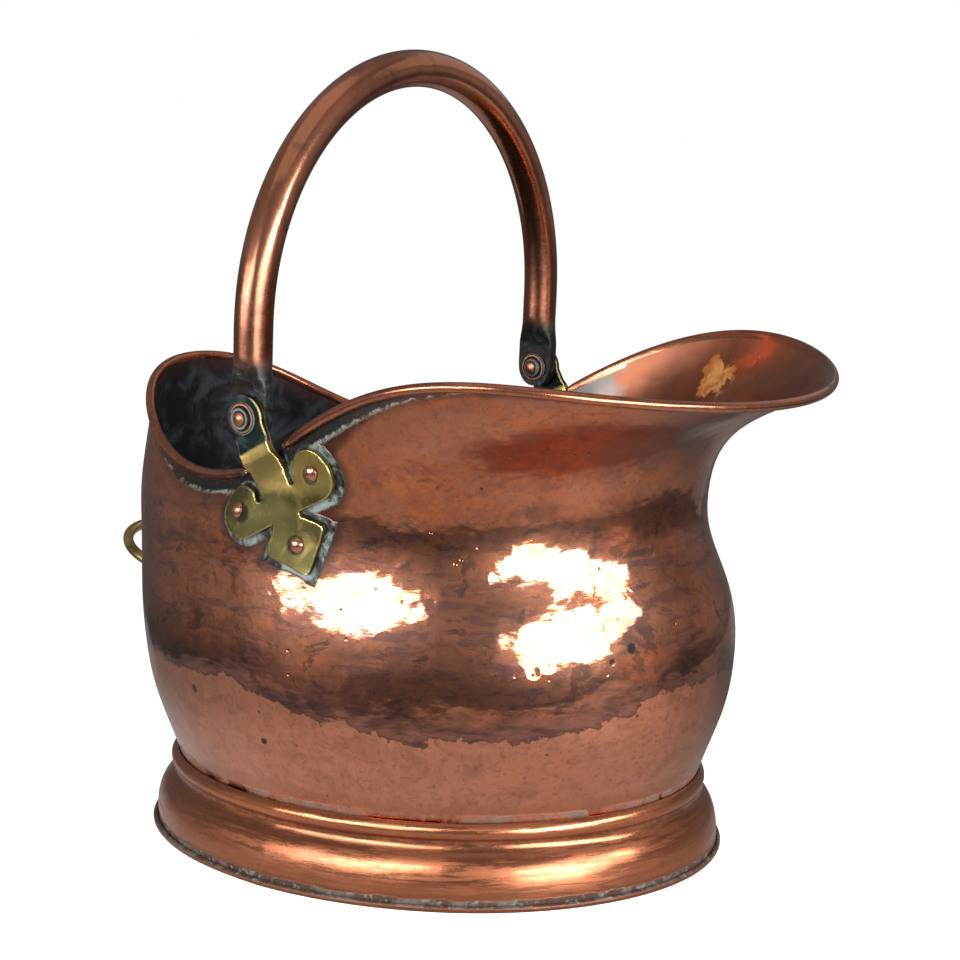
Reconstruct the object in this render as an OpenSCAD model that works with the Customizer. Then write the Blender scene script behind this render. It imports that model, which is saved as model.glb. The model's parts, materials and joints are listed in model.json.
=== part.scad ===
// Hammered copper ash bucket in the helmet form, with a swing handle and a fixed rear grip.
// The origin is on the floor, midway between the spout's tip and the back of the rear grip.
// +X points to the spout, +Z is up. Inside the modules x is counted from the foot's centre.

/* [Body] */
// Half length of the body where it meets the foot
base_half_length = 170; // [150:1:190]
// Half width of the body where it meets the foot
base_half_width = 127.5; // [115:0.5:135]
// Height of the joint between body and foot
base_height = 46; // [38:1:54]
// Distance that the joint lies forward of the foot's centre
base_forward = 4; // [0:1:8]
// Half length of the belly at its fullest
belly_half_length = 191; // [180:1:205]
// Half width of the belly at its fullest
belly_half_width = 148; // [140:1:158]
// Height of the fullest part of the belly
belly_height = 131; // [115:1:145]
// Distance that the belly lies forward of the foot's centre
belly_forward = 7; // [0:1:12]
// Reach of the neck towards the spout
neck_front = 179; // [165:1:190]
// Reach of the neck towards the back
neck_rear = 185; // [175:1:195]
// Half width of the neck
neck_half_width = 139; // [132:1:146]
// Height of the neck
neck_height = 200; // [188:1:212]
// Thickness of the copper sheet
sheet = 1.2; // [0.8:0.1:1.6]

/* [Rim] */
// Reach of the spout's tip
spout_reach = 253; // [235:1:270]
// Height of the spout's tip
spout_height = 270; // [260:1:285]
// Fullness of the spout's rounded tip
spout_fullness = 97; // [80:1:110]
// Slope of the spout at its tip, in degrees above level
spout_slope = 28; // [20:1:40]
// Distance from the centre of the spout's widest bend
flank_reach = 168; // [150:1:180]
// Half width that the spout's widest bend is drawn to
flank_half_width = 171; // [160:1:178]
// Height that the spout's widest bend is drawn to
flank_height = 287; // [275:1:300]
// Reach of the bend that lifts the rim in front of the lug
crest_reach = 128; // [115:1:140]
// Half width of the bend that lifts the rim in front of the lug
crest_half_width = 167; // [155:1:172]
// Height of the bend that lifts the rim in front of the lug
crest_height = 314.5; // [295:0.5:325]
// Half width of the rim at the lugs
rim_half_width = 137; // [130:0.5:142]
// Height of the rim at the front edge of the lug
rim_front_height = 246; // [240:0.5:250]
// Drop from there to the rim at the back edge of the lug
rim_rear_drop = 12; // [6:0.5:18]
// Distance from the centre to the back of the hood
hood_reach = 180; // [172:1:188]
// Height of the hood
hood_height = 278; // [265:1:290]
// Fullness of the hood's rounded back
hood_fullness = 56; // [45:1:70]
// Lean of the hood at its back, in degrees past upright
hood_lean = 13; // [0:1:18]
// Diameter of the iron wire in the rim
rim_wire = 3.2; // [2.4:0.1:4]
// Clearance between a wire and the copper rolled round it
wire_clearance = 0.15; // [0.1:0.01:0.2]

/* [Foot] */
// Distance that the foot reaches beyond the base, lengthwise
foot_spread_length = 17; // [12:0.5:24]
// Distance that the foot reaches beyond the base, sideways
foot_spread_width = 15.5; // [11:0.5:22]
// Height of the bead round the top of the foot
foot_bead = 11.6; // [8:0.2:14]
// Distance that the bead stands out from the body
foot_bead_out = 4.9; // [3:0.1:6]
// Diameter of the iron wire in the foot's edge
foot_wire_d = 2.2; // [1.6:0.1:3]
// Thickness of the foot's copper
foot_sheet = 1; // [0.8:0.1:1.4]
// Width of the ledge that carries the bottom plate
ledge = 9; // [6:0.5:12]
// Thickness of the bottom plate
bottom_plate_t = 1.5; // [1:0.1:2.5]

/* [Handle] */
// Diameter of the handle's tube
tube_d = 21.2; // [18:0.1:25]
// Thickness of the tube's wall
tube_wall = 1.8; // [1.2:0.1:2.5]
// Distance between the middles of the handle's two legs
handle_span = 274; // [268:0.5:280]
// Length of the straight legs above the pivots
leg_length = 49.5; // [45:0.5:60]
// Height of the pivots above the rim at the front edge of the lug
pivot_rise = 18; // [14:0.5:24]
// Distance of the pivots behind the foot's centre
pivot_back = 6; // [2:0.5:10]
// Forward lean of the handle at rest, in degrees
handle_lean = 4.7; // [0:0.1:8]
// Thickness of the flattened ends
paddle_t = 7; // [5:0.5:9]
// Width of the flattened ends
paddle_w = 25; // [22:0.5:28]
// Length over which the tube flattens
flattening = 18; // [12:1:30]
// Diameter of the pivot rivet's shank
pivot_d = 8; // [6:0.5:10]
// Running clearance between the shank and its bore, on the radius
pivot_clearance = 0.08; // [0.04:0.01:0.1]
// Gap between flat pieces at the pivot
side_gap = 0.3; // [0.2:0.05:0.4]

/* [Lugs] */
// Thickness of the cast lugs
lug_t = 3.5; // [3:0.1:4.5]
// Tilt of each lug, its top towards the back, in degrees
lug_tilt = 25; // [20:1:28]
// Radius of the ear that holds the pivot
ear_r = 12.8; // [11:0.1:14]
// Half width of the neck between ear and plate
lug_neck_half = 11; // [9:0.5:12]
// Distance from the middle to each side rivet
side_rivet_out = 30.7; // [28:0.1:33]
// Distance from the pivot down to the side rivets
side_rivet_down = 43; // [41:0.5:46]
// Radius of the side lobes
lobe_r = 14.3; // [13.5:0.1:14.8]
// Distance from the middle to the centre of each side lobe
lobe_out = 28.5; // [27.5:0.1:30]
// Distance from the pivot down to the centres of the side lobes
lobe_down = 44.4; // [43:0.1:46]
// Distance from the pivot down to the lowest rivet
low_rivet_down = 73.6; // [71:0.2:78]
// Half width of the waist between the side lobes and the lowest lobe
lug_waist_half = 10.2; // [9.5:0.1:12]
// Half width of the lowest lobe
low_lobe_half = 20; // [18:0.5:23]
// Distance from the pivot down to the lug's point
lug_point_down = 91; // [87:0.5:94]
// Diameter of the lug's rivets
rivet_d = 4; // [3:0.1:5]
// Diameter of the lug rivets' outer heads
rivet_head_d = 8.6; // [7:0.1:10]
// Gap between a plate and the sheet that it lies on
seat_gap = 0.2; // [0.15:0.01:0.3]
// Gap between a rivet's heads and the faces that they close on
head_gap = 0.4; // [0.3:0.05:0.5]
// Outer diameter of the pivot washers
washer_d = 18; // [16:0.5:20]
// Thickness of the pivot washers
washer_t = 1.5; // [1:0.1:2]
// Diameter of the small ring under the rivet's outer end
ring_d = 12.6; // [11:0.2:14]
// Thickness of the small ring
ring_t = 1.6; // [1:0.1:2]
// Diameter of the pivot rivet's inner head
pivot_head_d = 13; // [11:0.5:15]

/* [Rear grip] */
// Diameter of the grip's bar
grip_d = 6.5; // [6:0.1:8]
// Half of the grip's width, between the middles of its legs
grip_half_span = 48; // [42:0.5:52]
// Distance that the grip stands off the wall
grip_projection = 48; // [45:0.1:58]
// Bend radius of the grip's corners
grip_bend = 38; // [28:1:40]
// Upward tilt of the grip, in degrees
grip_tilt = 21; // [15:1:35]
// Height of the grip's feet
grip_height = 149.5; // [138:0.5:155]
// Diameter of the discs under the grip's feet
grip_disc_d = 24; // [20:0.5:28]
// Thickness of the discs under the grip's feet
grip_disc_t = 2.5; // [2:0.1:3.5]
// Diameter of the tenon that passes through the wall
tenon_d = 4.6; // [4:0.1:5.5]

/* [Hidden] */

COPPER = "#b8663f";
BRASS = "#a8923c";
IRON = "#55504c";
FINE = 64;

// Columns of the sheet round half the body, in front of the lug and behind it
front_columns = 18;
rear_columns = 13;
// Facets of the rolled edges
roll_steps = 8;
// Where the rolled edges stop beside the lug, along each rim curve
front_stop = 0.985;
rear_stop = 0.985;
stop_step = 0.003;
roll_turn = 305;

roll_bore = rim_wire / 2 + wire_clearance;
foot_roll_bore = foot_wire_d / 2 + wire_clearance;
foot_roll = foot_roll_bore + foot_sheet;
body_drop = 5;
rim_rear_height = rim_front_height - rim_rear_drop;
pivot_height = rim_front_height + pivot_rise;
pivot = [-pivot_back, handle_span / 2, pivot_height];
ear_in = handle_span / 2 + paddle_t / 2 + side_gap;
ear_out = ear_in + lug_t;

function bez(p, t) =
    len(p) == 1 ? p[0] : bez([for (i = [0 : len(p) - 2]) p[i] * (1 - t) + p[i + 1] * t], t);
function unit(v) = v / norm(v);
function flip(p) = [p[0], -p[1], p[2]];

// Rim curves of one half, from the spout's tip to the lug and from the hood's back to the lug
FRONT_RIM = [
    [spout_reach, 0, spout_height],
    [spout_reach, spout_fullness, spout_height],
    [flank_reach, flank_half_width, flank_height],
    [crest_reach, crest_half_width, crest_height],
    [pivot[0] + 16.7, rim_half_width, rim_front_height]
];
REAR_RIM = [
    [-hood_reach, 0, hood_height],
    [-hood_reach, hood_fullness, hood_height],
    [-hood_reach * 0.76, rim_half_width * 0.65, hood_height - 26],
    [-hood_reach * 0.67, rim_half_width * 0.67, rim_rear_height - 28],
    [pivot[0] - 3.2, rim_half_width - 1, rim_rear_height]
];

// Stations round one half: place along the rim, whether it is in front, and whether its edge is rolled
STATIONS = concat(
    [for (i = [0 : front_columns]) [front_stop * i / front_columns, true, true]],
    [[front_stop + stop_step, true, false], [1, true, false], [1, false, false]],
    [[rear_stop + stop_step, false, false]],
    [for (i = [rear_columns : -1 : 0]) [rear_stop * i / rear_columns, false, true]]
);
HALF = len(STATIONS);
RIM = [for (s = STATIONS) bez(s[1] ? FRONT_RIM : REAR_RIM, s[0])];
ALONG = [
    for (i = [0 : HALF - 1])
        unit(
            (i == HALF - 1 ? flip(RIM[i - 1]) : RIM[i + 1])
            - (i == 0 ? flip(RIM[1]) : RIM[i - 1])
        )
];

// Angle round the body for a point of the rim
function round_angle(e) =
    atan2(e[1] / rim_half_width, e[0] / (e[0] > 0 ? spout_reach : hood_reach));

// Ellipses of the base, belly and neck at one angle
function base_point(u) =
    [base_forward + base_half_length * cos(u), base_half_width * sin(u), base_height];
function belly_point(u) =
    [belly_forward + belly_half_length * cos(u), belly_half_width * sin(u), belly_height];
function neck_point(u) =
    [(cos(u) > 0 ? neck_front : neck_rear) * cos(u), neck_half_width * sin(u), neck_height];

// Direction in which the sheet runs up into its edge
function edge_slope(u) =
    let (w = cos(u) * cos(u), side = 88)
    side + ((cos(u) > 0 ? spout_slope : 90 + hood_lean) - side) * w;
function edge_run(u) =
    let (e = edge_slope(u))
    [cos(u) * cos(e), sin(u) * cos(e), sin(e)];

// Control points of the three curves of one column: foot to belly, belly to neck, neck to edge
function low_curve(u) =
    let (j = base_point(u), b = belly_point(u), h = belly_height - base_height)
    [j, j + [(b - j)[0] * 0.468, (b - j)[1] * 0.468, 0.35 * h], b - [0, 0, 0.5 * h], b];
function mid_curve(u) =
    let (b = belly_point(u), n = neck_point(u), h = neck_height - belly_height)
    [b, b + [0, 0, 0.4 * h], n - [0, 0, 0.4 * h], n];
function top_curve(u, tip) =
    let (
        n = neck_point(u),
        w = cos(u) > 0 ? cos(u) * cos(u) : 0,
        rise = 0.45 + 0.35 * w,
        pull = 0.3 + 0.07 * w
    )
    [n, n + [0, 0, rise * (tip[2] - n[2])], tip - edge_run(u) * (pull * norm(tip - n)), tip];

// Outward normal and upward direction of the edge, square to the rim
function edge_out(e, along) = unit(cross(along, edge_run(round_angle(e))));
function edge_up(e, along) = unit(cross(edge_out(e, along), along));

// Point of the sheet's outer face: v runs 0 to 1 up to the belly, to 2 at the neck, to 3 at the edge
function face_point(e, along, v) =
    let (u = round_angle(e), tip = e - edge_out(e, along) * roll_bore)
    v < 0 ? bez(low_curve(u), 0) + (bez(low_curve(u), 0.02) - bez(low_curve(u), 0))
            * (v * body_drop / (bez(low_curve(u), 0.02)[2] - base_height))
    : v <= 1 ? bez(low_curve(u), v)
    : v <= 2 ? bez(mid_curve(u), v - 1)
    : bez(top_curve(u, tip), v - 2);
function face_normal(e, along, v) =
    let (
        u = round_angle(e),
        d = 0.02,
        run = face_point(e, along, min(v + d, 3)) - face_point(e, along, max(v - d, -1)),
        round = [-belly_half_length * sin(u), belly_half_width * cos(u), 0],
        mix = max(0, v - 2),
        side = unit(cross(round, run))
    )
    unit(side * (1 - mix) + edge_out(e, along) * mix);

LEVELS = [-1, 0, 0.2, 0.45, 0.7, 1, 1.3, 1.6, 1.8, 2, 2.2, 2.4, 2.6, 2.8, 3];

// One closed section of the sheet: outer face, rolled or plain edge, inner face
function section(i) =
    let (
        e = RIM[i],
        a = ALONG[i],
        out = edge_out(e, a),
        up = edge_up(e, a),
        face = [for (v = LEVELS) face_point(e, a, v)],
        back = [for (v = LEVELS) face_point(e, a, v) - face_normal(e, a, v) * sheet],
        top = len(LEVELS) - 1,
        edge = (face[top] + back[top]) / 2,
        last = 2 * roll_steps + 1
    )
    concat(
        face,
        STATIONS[i][2]
            ? concat(
                [for (k = [1 : roll_steps])
                    let (t = 180 - roll_turn * k / roll_steps)
                    e + (out * cos(t) + up * sin(t)) * roll_bore],
                [for (k = [roll_steps : -1 : 1])
                    let (t = 180 - roll_turn * k / roll_steps)
                    e + (out * cos(t) + up * sin(t)) * (roll_bore + sheet)]
            )
            : [for (k = [1 : last - 1])
                let (t = 180 * k / last)
                edge + (out * cos(t) + up * sin(t)) * (sheet / 2)],
        [for (k = [top : -1 : 0]) back[k]]
    );

// The full round of sections: one half, then its mirror without the two shared columns
function full_round(half) =
    concat(half, [for (i = [len(half) - 2 : -1 : 1]) [for (p = half[i]) flip(p)]]);

// The same loops run the other way, for paths whose sections turn the other way
function turned(loops) = [for (l = loops) [for (i = [len(l) - 1 : -1 : 0]) l[i]]];

// Skin over closed loops that follow each other round a closed path
module closed_skin(loops) {
    n = len(loops);
    m = len(loops[0]);
    polyhedron(
        points = [for (l = loops) each l],
        faces = [
            for (i = [0 : n - 1], j = [0 : m - 1])
                let (
                    p = i * m + j,
                    q = i * m + (j + 1) % m,
                    r = ((i + 1) % n) * m + (j + 1) % m,
                    s = ((i + 1) % n) * m + j
                )
                each i < n / 2 ? [[p, q, r], [p, r, s]] : [[p, q, s], [q, r, s]]
        ],
        convexity = 10
    );
}

// Skin over closed loops along an open path, with a flat cap at each end
module capped_skin(loops) {
    n = len(loops);
    m = len(loops[0]);
    polyhedron(
        points = [for (l = loops) each l],
        faces = concat(
            [for (i = [0 : n - 2], j = [0 : m - 1])
                let (
                    p = i * m + j,
                    q = i * m + (j + 1) % m,
                    r = (i + 1) * m + (j + 1) % m,
                    s = (i + 1) * m + j
                )
                each [[p, q, r], [p, r, s]]],
            [for (j = [1 : m - 2]) [0, j + 1, j]],
            [for (j = [1 : m - 2]) (n - 1) * m * [1, 1, 1] + [0, j, j + 1]]
        ),
        convexity = 10
    );
}

// Point of the outer face that lies over a given x and z on the near half
function level_at(e, along, z, lo = 0, hi = 3, n = 14) =
    n == 0 ? (lo + hi) / 2
    : let (m = (lo + hi) / 2)
      face_point(e, along, m)[2] < z
        ? level_at(e, along, z, m, hi, n - 1)
        : level_at(e, along, z, lo, m, n - 1);
function rim_at(w) =
    let (i = min(floor(w), HALF - 2), f = w - i)
    RIM[i] * (1 - f) + RIM[i + 1] * f;
function along_at(w) =
    let (i = min(floor(w), HALF - 2), f = w - i)
    unit(ALONG[i] * (1 - f) + ALONG[i + 1] * f);
function face_at(w, z) =
    let (e = rim_at(w), a = along_at(w))
    face_point(e, a, level_at(e, a, z));
function wall_spot(x, z, lo = 0, hi = HALF - 1, n = 14) =
    n == 0 ? (lo + hi) / 2
    : let (m = (lo + hi) / 2)
      face_at(m, z)[0] > x
        ? wall_spot(x, z, m, hi, n - 1)
        : wall_spot(x, z, lo, m, n - 1);
function wall_point(x, z) = face_at(wall_spot(x, z), z);
function wall_normal(x, z) =
    let (d = 2)
    unit(cross(wall_point(x - d, z) - wall_point(x + d, z), wall_point(x, z + d) - wall_point(x, z - d)));

// Turns +Z to a direction and moves to a point
module aim(p, d) {
    translate(p)
        rotate([0, acos(d[2] / norm(d)), atan2(d[1], d[0])])
            children();
}

// Body sheet and its edge wires
module body_sheet() {
    color(COPPER)
        difference() {
            closed_skin(full_round([for (i = [0 : HALF - 1]) section(i)]));
            for (side = [-1, 1]) {
                for (spot = RIVET_SPOTS)
                    mirror([0, side < 0 ? 1 : 0, 0])
                        rivet_at(spot)
                            translate([0, 0, -8])
                                cylinder(d = rivet_d + 0.2, h = 12, $fn = FINE);
                mirror([0, side < 0 ? 1 : 0, 0])
                    aim(GRIP_FOOT, GRIP_FOOT_OUT)
                        translate([0, 0, -8])
                            cylinder(d = tenon_d + 0.2, h = 12, $fn = FINE);
            }
        }
}

function wire_loop(i, r, sides) =
    let (e = RIM[i], a = ALONG[i], out = edge_out(e, a), up = edge_up(e, a))
    [for (k = [0 : sides - 1])
        let (t = 180 - 360 * k / sides)
        e + (out * cos(t) + up * sin(t)) * r];
function both_ways(half) =
    concat([for (i = [len(half) - 1 : -1 : 1]) [for (p = half[i]) flip(p)]], half);

module front_rim_wire() {
    color(IRON)
        capped_skin(turned(both_ways([for (i = [0 : front_columns]) wire_loop(i, rim_wire / 2, 8)])));
}

module rear_rim_wire() {
    color(IRON)
        capped_skin(both_ways([for (i = [HALF - 1 : -1 : HALF - 1 - rear_columns]) wire_loop(i, rim_wire / 2, 8)]));
}

// Foot
FOOT_FLARE = 16;
function foot_point(u, r, z) =
    let (f = r / FOOT_FLARE)
    [
        base_forward * (1 - f) + (base_half_length + foot_spread_length * f) * cos(u),
        (base_half_width + foot_spread_width * f) * sin(u),
        z
    ];
FOOT_ANGLES = [for (i = [0 : HALF - 1]) if (STATIONS[i][2] || STATIONS[i][0] == 1) round_angle(RIM[i])];
bead_middle = base_height - foot_bead / 2 + 0.8;
bead_r = foot_bead / 2;
bead_centre = foot_bead_out - bead_r;
wire_centre = [FOOT_FLARE - foot_roll, foot_roll * cos(30)];
ledge_top = base_height - body_drop - 0.2;
// Lean of the body's wall inside the bead, as outward travel for each mm of height
wall_lean = 0.27;
function wall_out(z) = (z - base_height) * wall_lean;
lip_gap = 0.35;

FOOT_SKIRT = [
    [bead_centre + bead_r * cos(-58), bead_middle + bead_r * sin(-58)],
    [2.3, base_height * 0.59],
    [10, base_height * 0.72],
    [14.6, base_height * 0.35],
    [wire_centre[0] - foot_roll_bore, wire_centre[1] + 1.2]
];
SKIRT_TURNS = [for (k = [1 : 9]) k / 9];
function skirt_normal(t) =
    let (d = unit(bez(FOOT_SKIRT, min(t + 0.01, 1)) - bez(FOOT_SKIRT, t - 0.01)))
    [-d[1], d[0]];
FOOT_SECTION = concat(
    [[wall_out(base_height + 1) + lip_gap, base_height + 1]],
    [for (t = [60 : -29.5 : -58]) [bead_centre + bead_r * cos(t), bead_middle + bead_r * sin(t)]],
    [for (t = SKIRT_TURNS) bez(FOOT_SKIRT, t)],
    [for (k = [0 : 5])
        let (t = 180 + 60 * k)
        wire_centre + foot_roll_bore * [cos(t), sin(t)]],
    [for (k = [5 : -1 : 0])
        let (t = 180 + 60 * k)
        wire_centre + foot_roll * [cos(t), sin(t)]],
    [for (k = [8 : -1 : 2]) bez(FOOT_SKIRT, SKIRT_TURNS[k]) - foot_sheet * [1, 0] * 1.15],
    [
        [wall_out(ledge_top) - 0.4, ledge_top - foot_sheet - 2],
        [wall_out(ledge_top) - ledge, ledge_top - foot_sheet],
        [wall_out(ledge_top) - ledge, ledge_top],
        [wall_out(ledge_top) + lip_gap, ledge_top]
    ]
);

module foot_ring() {
    color(COPPER)
        closed_skin(full_round(turned([
            for (u = FOOT_ANGLES) [for (p = FOOT_SECTION) foot_point(u, p[0], p[1])]
        ])));
}

module foot_wire() {
    color(IRON)
        closed_skin(full_round([
            for (u = FOOT_ANGLES)
                [for (k = [0 : 5])
                    let (p = wire_centre + foot_wire_d / 2 * [cos(60 * k), sin(60 * k)])
                    foot_point(u, p[0], p[1])]
        ]));
}

// Flat plate that closes the bottom, resting on the foot's ledge inside the body sheet
module bottom_plate() {
    inset = (ledge_top - base_height) * 0.4 - sheet * 1.1 - 0.6;
    z0 = ledge_top + 0.1;
    ring = concat(
        [for (u = FOOT_ANGLES) foot_point(u, inset, 0)],
        [for (i = [len(FOOT_ANGLES) - 2 : -1 : 1]) flip(foot_point(FOOT_ANGLES[i], inset, 0))]
    );
    color(COPPER)
        translate([0, 0, z0])
            linear_extrude(height = bottom_plate_t)
                polygon([for (p = ring) [p[0], p[1]]]);
}

// Lug frame: local x across the lug, local z up it, from the pivot
function lug_to_world(x, z) =
    [pivot[0] + cos(lug_tilt) * x - sin(lug_tilt) * z, pivot[2] + sin(lug_tilt) * x + cos(lug_tilt) * z];
RIVET_SPOTS = [
    lug_to_world(-side_rivet_out, -side_rivet_down),
    lug_to_world(side_rivet_out, -side_rivet_down),
    lug_to_world(0, -low_rivet_down)
];
module rivet_at(spot) {
    aim(wall_point(spot[0], spot[1]), wall_normal(spot[0], spot[1]))
        children();
}

// Trefoil outline of the plate, with narrow notches beside the neck
module lug_outline() {
    difference() {
        union() {
            for (s = [-1, 1]) {
                translate([s * lobe_out, -lobe_down])
                    circle(r = lobe_r, $fn = FINE);
                translate([s * lobe_out / 2, -lobe_down - lobe_r * 0.3])
                    square([lobe_out, lobe_r * 1.36], center = true);
            }
            polygon([
                [-lug_waist_half, -lobe_down - 6],
                [-lug_waist_half, -low_rivet_down + 12.8],
                [-low_lobe_half + 1.6, -low_rivet_down + 5.6],
                [-low_lobe_half, -low_rivet_down + 3.2],
                [-low_lobe_half + 0.6, -low_rivet_down + 0.8],
                [-2.4, -lug_point_down + 1.4],
                [0, -lug_point_down],
                [2.4, -lug_point_down + 1.4],
                [low_lobe_half - 0.6, -low_rivet_down + 0.8],
                [low_lobe_half, -low_rivet_down + 3.2],
                [low_lobe_half - 1.6, -low_rivet_down + 5.6],
                [lug_waist_half, -low_rivet_down + 12.8],
                [lug_waist_half, -lobe_down - 6]
            ]);
            translate([-lug_neck_half, -side_rivet_down])
                square([2 * lug_neck_half, 14]);
        }
        for (s = [-1, 1]) {
            translate([s * (lug_neck_half + 2.6), -side_rivet_down + 1.5])
                circle(r = 2.4, $fn = FINE);
            translate([s * (lug_neck_half + 2.6) - 2.4, -side_rivet_down + 1.5])
                square([4.8, 20]);
        }
    }
}

// Part of a shell that lies over the body's outer face, from one offset to another
PATCH_LEVELS = [1.3, 1.6, 1.8, 2, 2.2, 2.4, 2.6, 2.78, 2.92];
module wall_patch(near, far) {
    first = front_columns - 7;
    last = front_columns + 10;
    m = len(PATCH_LEVELS);
    loops = [
        for (i = [first : last])
            let (e = RIM[i], a = ALONG[i])
            concat(
                [for (v = PATCH_LEVELS) face_point(e, a, v) + face_normal(e, a, v) * far],
                [for (k = [m - 1 : -1 : 0])
                    face_point(e, a, PATCH_LEVELS[k]) + face_normal(e, a, PATCH_LEVELS[k]) * near]
            )
    ];
    capped_skin(loops);
}

// Strap that climbs from the plate over the rim to the flat ear, as a side view in y and z
function strap_y(z) = let (p = lug_to_world(0, z)) wall_point(p[0], min(p[1], rim_rear_height - 4))[1];
module lug() {
    low = -side_rivet_down - 2;
    mid = -side_rivet_down + 9;
    // Slanting part of the strap, on its inner side, and its thickness square to the slant
    foot = [strap_y(mid) + 1.6, mid];
    rise = [ear_in - 1.6, mid + 7] - foot;
    off = [rise[1], -rise[0]] * lug_t / norm(rise);
    color(BRASS)
        difference() {
            union() {
                intersection() {
                    wall_patch(seat_gap, seat_gap + lug_t);
                    translate([pivot[0], pivot[1], pivot[2]])
                        rotate([0, -lug_tilt, 0])
                            rotate([90, 0, 0])
                                linear_extrude(height = 60, center = true)
                                    lug_outline();
                }
                translate(pivot)
                    rotate([0, -lug_tilt, 0])
                        translate([-lug_neck_half, -pivot[1], 0])
                            rotate([90, 0, 90])
                                linear_extrude(height = 2 * lug_neck_half)
                                    polygon([
                                        [strap_y(low) + 1.4, low],
                                        foot,
                                        foot + rise,
                                        [ear_in + 0.9, mid + 12],
                                        [ear_in + 0.9, mid + 15.5],
                                        [ear_in, mid + 18.5],
                                        [ear_in, -6],
                                        [ear_out, -6],
                                        [ear_out, mid + 19.5],
                                        [ear_out + 1.6, mid + 16.5],
                                        [ear_out + 1.6, mid + 10.5],
                                        foot + rise + off,
                                        foot + off,
                                        [strap_y(low) + lug_t, low]
                                    ]);
                translate([pivot[0], ear_out, pivot[2]])
                    rotate([90, 0, 0])
                        cylinder(r = ear_r, h = lug_t, $fn = FINE);
            }
            translate([pivot[0], ear_out + 1, pivot[2]])
                rotate([90, 0, 0])
                    cylinder(d = pivot_d + 0.1, h = lug_t + 2, $fn = FINE);
            for (spot = RIVET_SPOTS)
                rivet_at(spot)
                    translate([0, 0, -4])
                        cylinder(d = rivet_d + 0.2, h = 14, $fn = FINE);
        }
}

// Dome of a rivet head: a cap of a sphere on a flat seat
module dome(d, h) {
    r = (d * d / 4 + h * h) / (2 * h);
    difference() {
        translate([0, 0, h - r])
            sphere(r = r, $fn = FINE);
        translate([0, 0, -2 * r])
            cylinder(r = 2 * r, h = 2 * r, $fn = FINE);
    }
}

// Copper rivets of one lug, closed over both faces
module lug_rivets() {
    head_seat = seat_gap + lug_t + head_gap;
    inner_seat = -sheet - head_gap;
    color(COPPER)
        for (spot = RIVET_SPOTS)
            rivet_at(spot) {
                translate([0, 0, inner_seat - 0.01])
                    cylinder(d = rivet_d, h = head_seat - inner_seat + 0.02, $fn = FINE);
                translate([0, 0, head_seat])
                    dome(rivet_head_d, 2);
                translate([0, 0, inner_seat])
                    mirror([0, 0, 1])
                        dome(rivet_head_d, 1.6);
            }
}

// Pivot stack, laid out along +Z from the inner head to the outer end
inner_face = handle_span / 2 - paddle_t / 2 - side_gap - washer_t;
module along_pivot(y) {
    translate([pivot[0], y, pivot[2]])
        rotate([-90, 0, 0])
            children();
}

module pivot_rivet() {
    outer_seat = ear_out + washer_t + ring_t;
    color(COPPER) {
        along_pivot(inner_face)
            cylinder(d = pivot_d, h = outer_seat - inner_face, $fn = FINE);
        along_pivot(inner_face)
            mirror([0, 0, 1])
                dome(pivot_head_d, 3.6);
        along_pivot(outer_seat)
            dome(pivot_d + 0.4, 1.8);
    }
}

module pivot_washer(y, outer, t) {
    color(COPPER)
        along_pivot(y)
            difference() {
                cylinder(d = outer, h = t, $fn = FINE);
                translate([0, 0, -1])
                    cylinder(d = pivot_d + 0.1, h = t + 2, $fn = FINE);
            }
}

// Swing handle, drawn upright at the pivots and then leaned forward
module handle_end() {
    flat_top = ear_r + 1.5;
    tube_from = flat_top + flattening;
    difference() {
        union() {
            hull() {
                translate([0, 0, tube_from])
                    cylinder(d = tube_d, h = 0.5, $fn = 32);
                translate([-paddle_w / 2, -paddle_t / 2, flat_top - 0.5])
                    cube([paddle_w, paddle_t, 0.5]);
            }
            translate([0, paddle_t / 2, 0])
                rotate([90, 0, 0])
                    cylinder(d = paddle_w, h = paddle_t, $fn = FINE);
            translate([-paddle_w / 2, -paddle_t / 2, 0])
                cube([paddle_w, paddle_t, flat_top]);
            translate([0, 0, tube_from])
                cylinder(d = tube_d, h = leg_length - tube_from, $fn = FINE);
        }
        translate([0, paddle_t, 0])
            rotate([90, 0, 0])
                cylinder(d = pivot_d + 2 * pivot_clearance, h = 2 * paddle_t, $fn = FINE);
    }
}

// Half ring of the arch, of a given thickness
module handle_arch(d) {
    translate([0, 0, leg_length])
        rotate([90, 0, 90])
            rotate_extrude(angle = 180, $fn = FINE)
                translate([handle_span / 2, 0])
                    circle(d = d, $fn = FINE);
}

module bail_handle() {
    bore_d = tube_d - 2 * tube_wall;
    tube_from = ear_r + 1.5 + flattening;
    color(COPPER)
        translate([pivot[0], 0, pivot[2]])
            rotate([0, handle_lean, 0])
                difference() {
                    union() {
                        for (s = [-1, 1])
                            translate([0, s * handle_span / 2, 0])
                                handle_end();
                        handle_arch(tube_d);
                    }
                    handle_arch(bore_d);
                    for (s = [-1, 1])
                        translate([0, s * handle_span / 2, tube_from])
                            cylinder(d = bore_d, h = leg_length - tube_from, $fn = FINE);
                }
}

// Rear grip: feet on the back wall, legs out and up, rounded corners and a cross bar
function rear_spot(y) =
    let (w = rear_search(y))
    face_at(w, grip_height);
function rear_search(y, lo = HALF - 1 - rear_columns, hi = HALF - 1, n = 16) =
    n == 0 ? (lo + hi) / 2
    : let (m = (lo + hi) / 2)
      face_at(m, grip_height)[1] > y
        ? rear_search(y, m, hi, n - 1)
        : rear_search(y, lo, m, n - 1);
GRIP_FOOT = rear_spot(grip_half_span);
GRIP_FOOT_OUT = unit(
    cross(rear_spot(grip_half_span - 2) - rear_spot(grip_half_span + 2), [0, 0, 1])
);
grip_run = grip_projection - grip_bend;

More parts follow.
